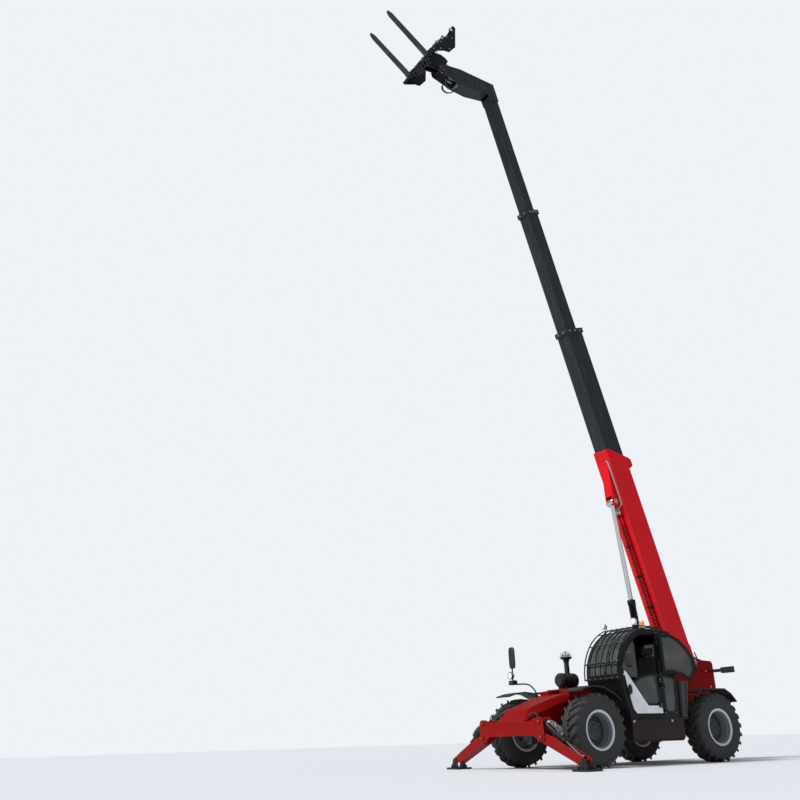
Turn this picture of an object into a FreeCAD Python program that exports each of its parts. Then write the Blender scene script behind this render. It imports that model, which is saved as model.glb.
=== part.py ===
import FreeCAD, Part
import os
from math import atan2, cos, degrees, hypot, pi, radians, sin, sqrt

# Telehandler with four-part boom, pallet forks and front stabilisers.
# Row frame in mm: +X ahead, +Y to the machine's left, +Z up, origin on the ground.
V = FreeCAD.Vector
os.makedirs("parts", exist_ok=True)

# Running gap between pieces of different bodies, and gap between pieces that seat.
RUN = 6.0
SEAT = 0.3

# Wheels and axles
WHEELBASE = 3070.0
DRAWN_WHEELBASE = 3070.0
BAY_FRONT = -620.0
BAY_REAR = -2440.0
FRONT_AXLE_X = 459.5
TYRE_RADIUS = 612.0
TYRE_WIDTH = 400.0
OVERALL_WIDTH = 2420.0
LUG_HEIGHT = 40.0
LUG_THICKNESS = 54.0
LUG_SKEW = 150.0
LUG_COUNT = 15
TYRE_FACETS = 30
RIM_SEAT_RADIUS = 305.0
RIM_FLANGE_RADIUS = 326.0
RIM_THROAT_RADIUS = 270.0
HUB_RADIUS = 150.0
KINGPIN_INSET = 230.0
KINGPIN_RADIUS = 30.0
YOKE_HALF_HEIGHT = 205.0
YOKE_ARM_THICKNESS = 40.0
AXLE_TUBE_RADIUS = 105.0
STEER_ARM_REACH = 190.0
STEER_BARREL_RADIUS = 45.0
STEER_ROD_RADIUS = 20.0

# Main frame
FRAME_HALF_WIDTH = 350.0
FRAME_PLATE = 40.0
FRAME_BOTTOM = 470.0
FRAME_TOP = 1010.0
FRAME_REAR = -4130.0
FRAME_FRONT = 260.0
TOWER_RISE = 30.0

# Boom
BOOM_ANGLE = 73.7
PIVOT_BEHIND_AXLE = 3550.0
PIVOT_HEIGHT = 1870.0
PIVOT_TUBE_RADIUS = 95.0
PIVOT_PIN_RADIUS = 45.0
STROKE = 2700.0

# Lift cylinder
LIFT_BASE_X = -2600.0
LIFT_BASE_Z = 750.0
LIFT_EYE_S = 3550.0
LIFT_EYE_T = -420.0
LIFT_BARREL_RADIUS = 75.0
LIFT_BARREL_LENGTH = 2370.0
LIFT_ROD_RADIUS = 45.0
LIFT_EYE_RADIUS = 80.0

# Boom head and carriage
HEAD_PIVOT_S = 14150.0
HEAD_PIVOT_T = -1435.0
HEAD_HALF_WIDTH = 145.0
HEAD_PLATE = 20.0
FORK_ANGLE = 36.0
FORK_LENGTH = 1280.0
FORK_WIDTH = 125.0
FORK_THICKNESS = 50.0
FORK_TIP = 110.0
FORK_SPREAD = 380.0
FORK_UNDERSIDE = -420.0
CARRIAGE_HALF_WIDTH = 630.0
CARRIAGE_FACE = 430.0
HOSE_RADIUS = 28.0
TILT_BARREL_RADIUS = 60.0
TILT_ROD_RADIUS = 28.0

# Stabilisers
BEAM_X = 930.0
BEAM_HALF_WIDTH = 690.0
BEAM_BOTTOM = 555.0
BEAM_TOP = 790.0
LEG_WIDTH = 160.0
LEG_PLATE = 12.0
LEG_PIVOT_Y = 830.0
LEG_PIVOT_Z = 535.0
FOOT_PIN_Y = 1770.0
FOOT_PIN_Z = 150.0
LEG_RAM_BASE_Y = 800.0
LEG_RAM_BASE_Z = 780.0
LEG_RAM_EYE_Y = 1670.0
LEG_RAM_EYE_Z = 220.0
LEG_BARREL_RADIUS = 45.0
LEG_BARREL_LENGTH = 600.0
LEG_ROD_RADIUS = 22.0
FOOT_SIZE = 340.0

# Cab
CAB_RIGHT = 280.0
CAB_LEFT = 1150.0
CAB_FLOOR = 810.0
CAB_WALL = 45.0
PILLAR = 62.0
GLASS = 6.0
DOOR_GAP = 6.0
HINGE_X = -1645.0
HINGE_Y = 1185.0
UPPER_DOOR_OPEN = 176.0
GUARD_OFF = 45.0
GUARD_THICK = 18.0

REAR_AXLE_X = FRONT_AXLE_X - WHEELBASE
TOWER_TOP = PIVOT_HEIGHT + TOWER_RISE
WHEEL_Y = (OVERALL_WIDTH - TYRE_WIDTH) / 2
KINGPIN_Y = WHEEL_Y - KINGPIN_INSET
AXLE_Z = TYRE_RADIUS


def export(name, shape):
    """Write one node; several solids go out as one compound."""
    if isinstance(shape, (list, tuple)):
        solids = [s for item in shape for s in item.Solids]
        shape = solids[0] if len(solids) == 1 else Part.makeCompound(solids)
    elif len(shape.Solids) == 1:
        shape = shape.Solids[0]
    shape.exportStep("parts/" + name + ".step")
    PIECES[name] = shape


PIECES = {}


def ahead(x):
    """Row X of a place drawn forwards from the front axle; the bay between the wheels takes up a changed wheelbase."""
    added = WHEELBASE - DRAWN_WHEELBASE
    share = min(max((BAY_FRONT - x) / (BAY_FRONT - BAY_REAR), 0.0), 1.0)
    return FRONT_AXLE_X + x - added * share


def box(x0, x1, y0, y1, z0, z1):
    return Part.makeBox(x1 - x0, y1 - y0, z1 - z0, V(x0, y0, z0))


def fuse(shapes):
    body = shapes[0]
    if len(shapes) > 1:
        body = body.multiFuse(shapes[1:])
    return body.removeSplitter()


def prism_y(points, y0, y1):
    """Polygon of (x, z) points, thick from y0 to y1."""
    ring = [V(x, y0, z) for x, z in points]
    return Part.Face(Part.makePolygon(ring + ring[:1])).extrude(V(0, y1 - y0, 0))


def prism_x(points, x0, x1):
    """Polygon of (y, z) points, thick from x0 to x1."""
    ring = [V(x0, y, z) for y, z in points]
    return Part.Face(Part.makePolygon(ring + ring[:1])).extrude(V(x1 - x0, 0, 0))


def prism_z(points, z0, z1):
    """Polygon of (x, y) points, thick from z0 to z1."""
    ring = [V(x, y, z0) for x, y in points]
    return Part.Face(Part.makePolygon(ring + ring[:1])).extrude(V(0, 0, z1 - z0))


def rod(a, b, radius):
    """Round bar from point a to point b."""
    a, b = V(*a), V(*b)
    return Part.makeCylinder(radius, (b - a).Length, a, b - a)


def pin_y(x, z, radius, y0, y1):
    return rod((x, y0, z), (x, y1, z), radius)


def pin_x(y, z, radius, x0, x1):
    return rod((x0, y, z), (x1, y, z), radius)


def both_sides(shape):
    """The shape and its mirror image across the middle plane."""
    return [shape, shape.mirror(V(0, 0, 0), V(0, 1, 0))]


def mirrored(shape, side):
    return shape if side > 0 else shape.mirror(V(0, 0, 0), V(0, 1, 0))


def in_boom(shape):
    """From boom axes (s along the boom, t to its back) to the row frame."""
    shape = shape.copy()
    shape.rotate(V(0, 0, 0), V(0, 1, 0), -BOOM_ANGLE)
    shape.translate(V(ahead(-PIVOT_BEHIND_AXLE), 0, PIVOT_HEIGHT))
    return shape


def boom_point(s, t):
    """Row X and Z of a place in boom axes."""
    a = radians(BOOM_ANGLE)
    x = ahead(-PIVOT_BEHIND_AXLE) + s * cos(a) - t * sin(a)
    return x, PIVOT_HEIGHT + s * sin(a) + t * cos(a)


def in_carriage(shape):
    """From fork axes (x along the forks, z up from the pivot) to the row frame."""
    x, z = boom_point(HEAD_PIVOT_S, HEAD_PIVOT_T)
    shape = shape.copy()
    shape.rotate(V(0, 0, 0), V(0, 1, 0), -FORK_ANGLE)
    shape.translate(V(x, 0, z))
    return shape


# Wheels

def ring(profile, y_centre, x_centre):
    """Revolve (radius, y) points about the wheel axis, y outwards from the centre plane."""
    points = [V(x_centre + r, y_centre + y, AXLE_Z) for r, y in profile]
    face = Part.Face(Part.makePolygon(points + points[:1]))
    return face.revolve(V(x_centre, y_centre, AXLE_Z), V(0, 1, 0), 360)


def faceted_ring(profile, x_centre):
    """Ring of flat facets through (radius, y) points, y outwards from the wheel's centre plane."""
    def corner(index, radius, y):
        turn = 2 * pi * index / TYRE_FACETS
        return V(x_centre + radius * sin(turn), WHEEL_Y + y, AXLE_Z + radius * cos(turn))

    faces = []
    for index in range(TYRE_FACETS):
        for (r0, y0), (r1, y1) in zip(profile, profile[1:] + profile[:1]):
            loop = [corner(index, r0, y0), corner(index + 1, r0, y0), corner(index + 1, r1, y1), corner(index, r1, y1)]
            faces.append(Part.Face(Part.makePolygon(loop + loop[:1])))
    return Part.makeSolid(Part.makeShell(faces))


def tyre(x_centre):
    """Left tyre: carcass with two rows of slanted lugs whose inner ends lead."""
    half = TYRE_WIDTH / 2
    carcass_radius = TYRE_RADIUS - LUG_HEIGHT
    bead = 0.82 * half
    # the facets' flats clear the round rim; columns: radius, distance from the centre plane
    clear = SEAT + RIM_FLANGE_RADIUS * (1 - cos(pi / TYRE_FACETS))
    carcass = [(RIM_SEAT_RADIUS + clear, bead), (RIM_FLANGE_RADIUS + clear, bead + 2), (carcass_radius - 90, half),
               (carcass_radius, 0.76 * half)]
    pieces = [faceted_ring(carcass + [(r, -y) for r, y in reversed(carcass)], x_centre)]
    reach, width = LUG_SKEW / 2, LUG_THICKNESS / 2
    root = carcass_radius - 88
    top = sqrt(TYRE_RADIUS ** 2 - (reach + width) ** 2)
    end = half - 8
    pitch = 360.0 / LUG_COUNT
    for side in (1, -1):
        plan = [(-reach - width, side * end), (-reach + width, side * end), (reach + width, -side * 12),
                (reach - width, -side * 12)]
        lug = prism_z([(x_centre + x, WHEEL_Y + y) for x, y in plan], AXLE_Z + root, AXLE_Z + top)
        shoulder = prism_x([(WHEEL_Y + side * (end + 1), AXLE_Z + top - 22), (WHEEL_Y + side * (end - 37), AXLE_Z + top + 1),
                            (WHEEL_Y + side * (end + 1), AXLE_Z + top + 1)], x_centre - 200, x_centre + 200)
        lug = lug.cut(shoulder)
        for index in range(LUG_COUNT):
            copy = lug.copy()
            copy.rotate(V(x_centre, 0, AXLE_Z), V(0, 1, 0), pitch * (index + (0.5 if side < 0 else 0)))
            pieces.append(copy)
    return fuse(pieces)


def rim(x_centre):
    half = 0.82 * TYRE_WIDTH / 2
    seat = RIM_SEAT_RADIUS - SEAT
    # columns: radius, distance outwards from the centre plane
    outline = [
        (seat, half + SEAT), (RIM_FLANGE_RADIUS, half + 2 + SEAT), (RIM_FLANGE_RADIUS, half + 14),
        (RIM_THROAT_RADIUS + 8, half - 6), (RIM_THROAT_RADIUS, half - 30), (RIM_THROAT_RADIUS, -50),
        (HUB_RADIUS, -62), (HUB_RADIUS, 22), (HUB_RADIUS - 22, 40), (0, 46), (0, -76),
        (RIM_THROAT_RADIUS + 15, -72), (RIM_THROAT_RADIUS + 15, -half), (RIM_FLANGE_RADIUS, -half - 14),
        (RIM_FLANGE_RADIUS, -half - 2 - SEAT), (seat, -half - SEAT)]
    return ring(outline, WHEEL_Y, x_centre)


def knuckle(x_centre, behind):
    """Left steering knuckle; behind is -1 where the steering rod lies behind the axle."""
    core = rod((x_centre, KINGPIN_Y, AXLE_Z - 160), (x_centre, KINGPIN_Y, AXLE_Z + 160), 115)
    hub = rod((x_centre, KINGPIN_Y, AXLE_Z), (x_centre, WHEEL_Y - 76 - SEAT, AXLE_Z), HUB_RADIUS)
    pins = rod((x_centre, KINGPIN_Y, AXLE_Z - YOKE_HALF_HEIGHT - 14),
               (x_centre, KINGPIN_Y, AXLE_Z + YOKE_HALF_HEIGHT + 14), KINGPIN_RADIUS - SEAT)
    tip = (x_centre + behind * STEER_ARM_REACH, KINGPIN_Y - 60)
    arm = prism_z([(x_centre - 60, KINGPIN_Y - 60), (x_centre + 60, KINGPIN_Y - 60),
                   (x_centre + 60, KINGPIN_Y + 10), (x_centre - 60, KINGPIN_Y + 10)],
                  AXLE_Z - 60, AXLE_Z - 35)
    finger = prism_z([(x_centre, KINGPIN_Y - 55), (tip[0] + behind * 35, tip[1] - 30),
                      (tip[0] + behind * 35, tip[1] + 30), (x_centre, KINGPIN_Y)],
                     AXLE_Z - 60, AXLE_Z - 35)
    return fuse([core, hub, pins, arm, finger])


def axle(x_centre, behind):
    """Driven axle beam with differential, yokes and the steering cylinder's barrel."""
    yoke_y = KINGPIN_Y - 140
    tube_end = yoke_y - 30
    tube = rod((x_centre, -tube_end, AXLE_Z), (x_centre, tube_end, AXLE_Z), AXLE_TUBE_RADIUS)
    # columns: radius, y
    housing = [(0, -165), (AXLE_TUBE_RADIUS + 15, -165), (205, -30), (215, 60), (205, 150),
               (AXLE_TUBE_RADIUS + 15, 285), (0, 285)]
    bulge = ring(housing, 0, x_centre)
    nose = rod((x_centre, 60, AXLE_Z), (x_centre + behind * 240, 60, AXLE_Z), 85)
    pieces = [tube, bulge, nose]
    barrel_x = x_centre + behind * STEER_ARM_REACH
    pieces.append(rod((barrel_x, -250, AXLE_Z - 8), (barrel_x, 250, AXLE_Z - 8), STEER_BARREL_RADIUS))
    for y in (-235, 190):
        pieces.append(box(min(barrel_x, x_centre), max(barrel_x, x_centre), y, y + 45,
                          AXLE_Z - 40, AXLE_Z + 40))
    inner = YOKE_HALF_HEIGHT - YOKE_ARM_THICKNESS
    yoke = box(x_centre - 75, x_centre + 75, yoke_y - 40, yoke_y,
               AXLE_Z - YOKE_HALF_HEIGHT, AXLE_Z + YOKE_HALF_HEIGHT)
    for z0, z1 in ((-YOKE_HALF_HEIGHT, -inner), (inner, YOKE_HALF_HEIGHT)):
        arm = box(x_centre - 75, x_centre + 75, yoke_y - 40, KINGPIN_Y, AXLE_Z + z0, AXLE_Z + z1)
        tip = Part.makeCylinder(75, z1 - z0, V(x_centre, KINGPIN_Y, AXLE_Z + z0))
        yoke = yoke.fuse(arm.fuse(tip))
    bore = rod((x_centre, KINGPIN_Y, 0), (x_centre, KINGPIN_Y, 2 * AXLE_Z), KINGPIN_RADIUS)
    yoke = yoke.cut(bore)
    pieces += both_sides(yoke)
    # mounting pads up to the frame
    for y in (-FRAME_HALF_WIDTH, FRAME_HALF_WIDTH - 90):
        pieces.append(box(x_centre - 90, x_centre + 90, y, y + 90, AXLE_Z, 735 - SEAT))
    body = fuse(pieces)
    channel = rod((barrel_x, -400, AXLE_Z - 8), (barrel_x, 400, AXLE_Z - 8), STEER_ROD_RADIUS + SEAT)
    return body.cut(channel)


def steering_rod(x_centre, behind):
    x = x_centre + behind * STEER_ARM_REACH
    end_y = KINGPIN_Y - 60
    bar = rod((x, -end_y, AXLE_Z - 8), (x, end_y, AXLE_Z - 8), STEER_ROD_RADIUS)
    eyes = []
    for y in (-end_y, end_y):
        eyes.append(Part.makeCylinder(32, 54, V(x, y, AXLE_Z - 35 + SEAT)))
    return fuse([bar] + eyes)


# columns: name, axle X, direction of the steering rod from the axle
AXLES = [("front", FRONT_AXLE_X, -1), ("rear", REAR_AXLE_X, 1)]
for name, x_axle, behind in AXLES:
    export(name + "_axle", axle(x_axle, behind))
    export(name + "_steering_rod", steering_rod(x_axle, behind))
    whole_tyre = tyre(x_axle)
    whole_rim = rim(x_axle)
    whole_knuckle = knuckle(x_axle, behind)
    for label, side in (("left", 1), ("right", -1)):
        export(name + "_" + label + "_tyre", mirrored(whole_tyre, side))
        export(name + "_" + label + "_rim", mirrored(whole_rim, side))
        export(name + "_" + label + "_knuckle", mirrored(whole_knuckle, side))


# Main frame with the rear tower and the nose

def frame():
    outer = FRAME_HALF_WIDTH
    inner = outer - FRAME_PLATE
    # side plate outline, measured from the front axle; columns: x, z
    side = [
        (FRAME_FRONT, FRAME_TOP), (-560, FRAME_TOP), (-630, CAB_FLOOR - SEAT), (-2230, CAB_FLOOR - SEAT),
        (-2420, FRAME_TOP + 30), (-3230, TOWER_TOP + 50),
        (-3660, TOWER_TOP + 60), (-3820, TOWER_TOP + 15), (FRAME_REAR + 40, TOWER_TOP),
        (FRAME_REAR, TOWER_TOP - 50), (FRAME_REAR, 700), (FRAME_REAR + 260, FRAME_BOTTOM + 110),
        (-DRAWN_WHEELBASE - 260, FRAME_BOTTOM + 110), (-DRAWN_WHEELBASE - 200, 735), (-DRAWN_WHEELBASE + 200, 735),
        (-DRAWN_WHEELBASE + 260, FRAME_BOTTOM), (-420, FRAME_BOTTOM), (-300, 735), (FRAME_FRONT, 735)]
    plate = prism_y([(ahead(x), z) for x, z in side], inner, outer)
    pivot_x = ahead(-PIVOT_BEHIND_AXLE)
    boss = pin_y(pivot_x, PIVOT_HEIGHT, 120, outer - 1, outer + 22)
    plate = fuse([plate, boss]).cut(pin_y(pivot_x, PIVOT_HEIGHT, PIVOT_PIN_RADIUS + SEAT, 0, 2 * outer))
    pieces = both_sides(plate)
    # cross plates between the side plates; columns: x0, x1, z0, z1
    plates = [(-2760, -420, FRAME_BOTTOM, FRAME_BOTTOM + 25), (-1250, -1225, FRAME_BOTTOM, 780),
              (FRAME_REAR, FRAME_REAR + 30, 700, TOWER_TOP - 330),
              (-3790, -3765, 735, 1350), (FRAME_REAR, FRAME_REAR + 345, 700, 740),
              (-3780, -3260, 735, 765), (-300, FRAME_FRONT, 840, 870)]
    for x0, x1, z0, z1 in plates:
        pieces.append(box(ahead(x0), ahead(x1), -inner, inner, z0, z1))
    # cheeks that hold the lift cylinder's foot pin
    for y in (-135, 105):
        cheek = prism_y([(ahead(LIFT_BASE_X - 190), FRAME_BOTTOM + 20), (ahead(LIFT_BASE_X + 190), FRAME_BOTTOM + 20),
                         (ahead(LIFT_BASE_X + 80), LIFT_BASE_Z + 90), (ahead(LIFT_BASE_X - 80), LIFT_BASE_Z + 90)],
                        y, y + 30)
        pieces.append(cheek)
    pieces.append(pin_y(ahead(LIFT_BASE_X), LIFT_BASE_Z, 40 - SEAT, -150, 150))
    # tow jaw at the rear
    for z in (760, 850):
        jaw = box(ahead(FRAME_REAR - 130), ahead(FRAME_REAR + 5), -70, 70, z, z + 25)
        pieces.append(jaw)
    body = fuse(pieces)
    return body.cut(rod((ahead(FRAME_REAR - 75), 0, 700), (ahead(FRAME_REAR - 75), 0, 900), 17))


def nose():
    """Wedge ahead of the frame that carries the stabiliser beam."""
    bottom = 765 + 5
    # sections across the machine; columns: x, half width, side top, top half width, top
    sections = [(1010, 400, 790, 350, 800), (850, 400, 880, 290, 1000),
                (200, 400, 1075, 330, 1205), (-380, 400, 1200, 350, 1310), (-620, 400, 1218, 355, 1326)]
    wires = []
    for x, half, shoulder, top_half, top in sections:
        points = [V(ahead(x), y, z) for y, z in
                  ((-half, bottom), (-half, shoulder), (-top_half, top), (top_half, top),
                   (half, shoulder), (half, bottom))]
        wires.append(Part.makePolygon(points + points[:1]))
    solid = Part.makeLoft(wires, True, True)
    # trough for the lift cylinder and its bracket when the boom is down
    trough = box(ahead(-1000), ahead(-110), -150, 150, 1010, 1500)
    # the frame's side plates pass inside the nose
    slot = box(ahead(-1000), ahead(FRAME_FRONT) + SEAT, -FRAME_HALF_WIDTH - SEAT, FRAME_HALF_WIDTH + SEAT,
               700, FRAME_TOP + SEAT)
    pieces = [solid]
    for end, y0, y1 in ((-800, -400, -155), (-620, 155, 400)):
        rise = (-60 - end) * 0.107
        hump = prism_y([(ahead(-60), 1200), (ahead(-60), 1320), (ahead(end), 1320 + rise),
                        (ahead(end), 1200 + rise)], y0, y1)
        pieces.append(hump)
    return fuse(pieces).cut(fuse([trough, slot]))


def stabiliser_beam():
    half_depth = LEG_WIDTH / 2 + RUN + 1 + 16
    front, back = ahead(BEAM_X + half_depth), ahead(BEAM_X - half_depth)
    beam = box(back, front, -BEAM_HALF_WIDTH, BEAM_HALF_WIDTH, BEAM_BOTTOM, BEAM_TOP)
    end = [(BEAM_HALF_WIDTH - 60, BEAM_BOTTOM), (LEG_PIVOT_Y - 50, LEG_PIVOT_Z - 75),
           (LEG_PIVOT_Y + 40, LEG_PIVOT_Z - 75), (LEG_PIVOT_Y + 80, LEG_PIVOT_Z - 30),
           (LEG_RAM_BASE_Y + 95, LEG_RAM_BASE_Z + 20), (LEG_RAM_BASE_Y + 50, LEG_RAM_BASE_Z + 65),
           (LEG_RAM_BASE_Y - 70, LEG_RAM_BASE_Z + 65), (BEAM_HALF_WIDTH - 160, BEAM_TOP)]
    pieces = [beam]
    pins = []
    for x0 in (back, front - 16):
        pieces += both_sides(prism_x(end, x0, x0 + 16))
    for y, z, radius in ((LEG_PIVOT_Y, LEG_PIVOT_Z, 30), (LEG_RAM_BASE_Y, LEG_RAM_BASE_Z, 22)):
        pins += both_sides(pin_x(y, z, radius, back - 12, front + 12))
    neck = box(back + 30, front - 10, -FRAME_HALF_WIDTH - 40, FRAME_HALF_WIDTH + 40, BEAM_TOP - 30, BEAM_TOP + 20)
    web = box(ahead(FRAME_FRONT) + SEAT, back + 40, -FRAME_HALF_WIDTH, FRAME_HALF_WIDTH, 640, 790)
    return fuse(pieces + pins + [neck, web])


export("chassis_frame", frame())
export("stabiliser_beam", fuse([stabiliser_beam(), nose()]))


# Stabiliser legs, feet and cylinders, left side

def leg():
    dy, dz = FOOT_PIN_Y - LEG_PIVOT_Y, FOOT_PIN_Z - LEG_PIVOT_Z
    length = hypot(dy, dz)
    half = LEG_WIDTH / 2
    # columns: distance from the pivot pin, height above the leg's middle line
    side = [(-70, -40), (-30, -95), (length - 120, -85), (length - 40, -55), (length + 45, -45),
            (length + 60, 20), (length + 10, 60), (length - 190, 70), (260, 95), (40, 70), (-50, 55)]
    plates = [prism_y(side, -half, -half + LEG_PLATE), prism_y(side, half - LEG_PLATE, half)]
    web = prism_y([(60, -92), (length - 150, -84), (length - 150, -72), (60, -80)], -half, half)
    solid = fuse(plates + [web])
    holes = [pin_y(0, 0, 30 + SEAT, -half, half), pin_y(length, 0, 24 + SEAT, -half, half)]
    turn = degrees(atan2(dz, dy))
    solid = solid.cut(fuse(holes))
    return to_leg_plane(solid, LEG_PIVOT_Y, LEG_PIVOT_Z, turn)


def to_leg_plane(solid, y, z, turn):
    """From (x along, z up, y across) at the origin to the beam's plane at Y, Z."""
    solid = solid.copy()
    solid.rotate(V(0, 0, 0), V(0, 1, 0), -turn)
    solid.rotate(V(0, 0, 0), V(0, 0, 1), 90)
    solid.translate(V(ahead(BEAM_X), y, z))
    return solid


def foot():
    half = FOOT_SIZE / 2
    x = ahead(BEAM_X)
    plate = box(x - half, x + half, FOOT_PIN_Y - half, FOOT_PIN_Y + half, 0, 24)
    inner = LEG_WIDTH / 2 + 2
    lug = [(FOOT_PIN_Y - 120, 24), (FOOT_PIN_Y + 120, 24), (FOOT_PIN_Y + 42, FOOT_PIN_Z + 42),
           (FOOT_PIN_Y - 42, FOOT_PIN_Z + 42)]
    pieces = [plate, prism_x(lug, x + inner, x + inner + 16), prism_x(lug, x - inner - 16, x - inner),
              pin_x(FOOT_PIN_Y, FOOT_PIN_Z, 24, x - inner - 30, x + inner + 30)]
    return fuse(pieces)


RAM_DY = LEG_RAM_EYE_Y - LEG_RAM_BASE_Y
RAM_DZ = LEG_RAM_EYE_Z - LEG_RAM_BASE_Z
RAM_LENGTH = hypot(RAM_DY, RAM_DZ)
RAM_TURN = degrees(atan2(RAM_DZ, RAM_DY))


def leg_barrel():
    tube = rod((30, 0, 0), (LEG_BARREL_LENGTH, 0, 0), LEG_BARREL_RADIUS)
    eye = pin_y(0, 0, 42, -35, 35)
    bore = fuse([rod((80, 0, 0), (LEG_BARREL_LENGTH + 5, 0, 0), LEG_ROD_RADIUS + SEAT),
                 pin_y(0, 0, 22 + SEAT, -50, 50)])
    return to_leg_plane(tube.fuse(eye).cut(bore), LEG_RAM_BASE_Y, LEG_RAM_BASE_Z, RAM_TURN)


def leg_rod():
    bar = rod((LEG_BARREL_LENGTH - 155, 0, 0), (RAM_LENGTH - 20, 0, 0), LEG_ROD_RADIUS)
    eye = pin_y(RAM_LENGTH, 0, 34, -LEG_WIDTH / 2 + LEG_PLATE + SEAT, LEG_WIDTH / 2 - LEG_PLATE - SEAT)
    return to_leg_plane(fuse([bar, eye]), LEG_RAM_BASE_Y, LEG_RAM_BASE_Z, RAM_TURN)


for label, side in (("left", 1), ("right", -1)):
    export(label + "_leg", mirrored(leg(), side))
    export(label + "_foot", mirrored(foot(), side))
    export(label + "_leg_barrel", mirrored(leg_barrel(), side))
    export(label + "_leg_rod", mirrored(leg_rod(), side))


# Boom, in boom axes

# columns: name, width, underside t, height, wall, tail s, mouth s, collar length
SECTIONS = [
    ("outer", 370.0, -295.0, 545.0, 12.0, -60.0, 4675.0, 0.0),
    ("second", 330.0, -258.0, 470.0, 10.0, 3670.0, 7500.0, 110.0),
    ("third", 280.0, -233.0, 330.0, 8.0, 6550.0, 10500.0, 110.0),
    ("inner", 245.0, -212.0, 250.0, 6.0, 9600.0, 13540.0, 0.0)]


def tube_section(index):
    name, width, low, height, wall, tail, mouth, collar = SECTIONS[index]
    shell = box(tail, mouth, -width / 2, width / 2, low, low + height)
    hollow = box(tail - 1, mouth + 1, -width / 2 + wall, width / 2 - wall, low + wall, low + height - wall)
    pieces = [shell]
    if collar:
        grow = 28
        pieces.append(box(mouth - collar, mouth, -width / 2 - grow, width / 2 + grow, low - grow,
                          low + height + grow))
    body = fuse(pieces).cut(hollow)
    if index:
        # wear pads at the tail fill the gap to the section outside
        outer_name, outer_width, outer_low, outer_height, outer_wall = SECTIONS[index - 1][:5]
        y_wall = outer_width / 2 - outer_wall - SEAT
        z_low = outer_low + outer_wall + SEAT
        z_top = outer_low + outer_height - outer_wall - SEAT
        pads = [box(tail, tail + 220, width / 2, y_wall, low + 60, low + height - 60),
                box(tail, tail + 220, -y_wall, -width / 2, low + 60, low + height - 60),
                box(tail, tail + 220, -width / 2 + 30, width / 2 - 30, z_low, low),
                box(tail, tail + 220, -width / 2 + 30, width / 2 - 30, low + height, z_top)]
        body = fuse([body] + pads)
    if index < len(SECTIONS) - 1:
        # wear pads at the mouth close the gap to the section inside
        next_width, next_low, next_height = SECTIONS[index + 1][1:4]
        y_in, z_low = next_width / 2 + SEAT, next_low - SEAT
        z_top = next_low + next_height + SEAT
        reach = 150
        wall_y = width / 2 - wall
        pads = [box(mouth - reach, mouth, y_in, wall_y, next_low + 50, next_low + next_height - 50),
                box(mouth - reach, mouth, -wall_y, -y_in, next_low + 50, next_low + next_height - 50),
                box(mouth - reach, mouth, -next_width / 2 + 40, next_width / 2 - 40, low + wall, z_low),
                box(mouth - reach, mouth, -next_width / 2 + 40, next_width / 2 - 40, z_top,
                    low + height - wall)]
        body = fuse([body] + pads)
    return body


def boom_outer():
    body = tube_section(0)
    name, width, low, height, wall, tail, mouth, collar = SECTIONS[0]
    half = width / 2
    top = low + height
    # slanted mouth: the underside reaches further than the back
    body = body.cut(prism_y([(mouth + 1, low + 90), (mouth + 1, top + 1), (mouth - 280, top + 1)],
                            -half - 1, half + 1))
    # thick plates each side of the mouth and foot; columns: polygon of (s, t)
    mouth_plate = [(mouth - 520, low + 8), (mouth - 6, low + 8), (mouth - 6, low + 92),
                   (mouth - 284, top + 60), (mouth - 330, top + 110), (mouth - 470, top + 110),
                   (mouth - 520, top - 8)]
    foot_plate = [(-90, -150), (60, low + 2), (900, low + 2), (620, 40), (300, top - 5),
                  (-40, top - 5), (-130, 120), (-160, 0)]
    pieces = [body]
    for points, thick in ((mouth_plate, 12), (foot_plate, 25)):
        pieces += both_sides(prism_y(points, half - 1, half + thick))
    # pivot tube through the foot
    reach = FRAME_HALF_WIDTH - FRAME_PLATE - SEAT
    pieces.append(pin_y(0, 0, PIVOT_TUBE_RADIUS, -reach, reach))
    # closing plate of the foot
    pieces.append(box(tail - 10, tail + 10, -half, half, low + 30, top - 10))
    # bracket below the boom for the lift cylinder's rod eye
    cheek = [(LIFT_EYE_S - 90, low + 1), (LIFT_EYE_S - 95, LIFT_EYE_T + 20), (LIFT_EYE_S - 60, LIFT_EYE_T - 60),
             (LIFT_EYE_S + 60, LIFT_EYE_T - 60), (LIFT_EYE_S + 420, low - 90), (LIFT_EYE_S + 800, low + 1)]
    for y in (-105, 85):
        pieces.append(prism_y(cheek, y, y + 20))
    pieces.append(prism_y([(LIFT_EYE_S + 130, LIFT_EYE_T - 30), (LIFT_EYE_S + 420, low - 90),
                           (LIFT_EYE_S + 800, low + 1), (LIFT_EYE_S + 130, low + 1)], -90, 90))
    solid = fuse(pieces)
    pin = fuse(both_sides(pin_y(0, 0, PIVOT_PIN_RADIUS, reach - 2, FRAME_HALF_WIDTH + 34)))
    caps = fuse(both_sides(pin_y(LIFT_EYE_S, LIFT_EYE_T, 45, 104, 124)))
    return fuse([solid, pin, caps])


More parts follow.
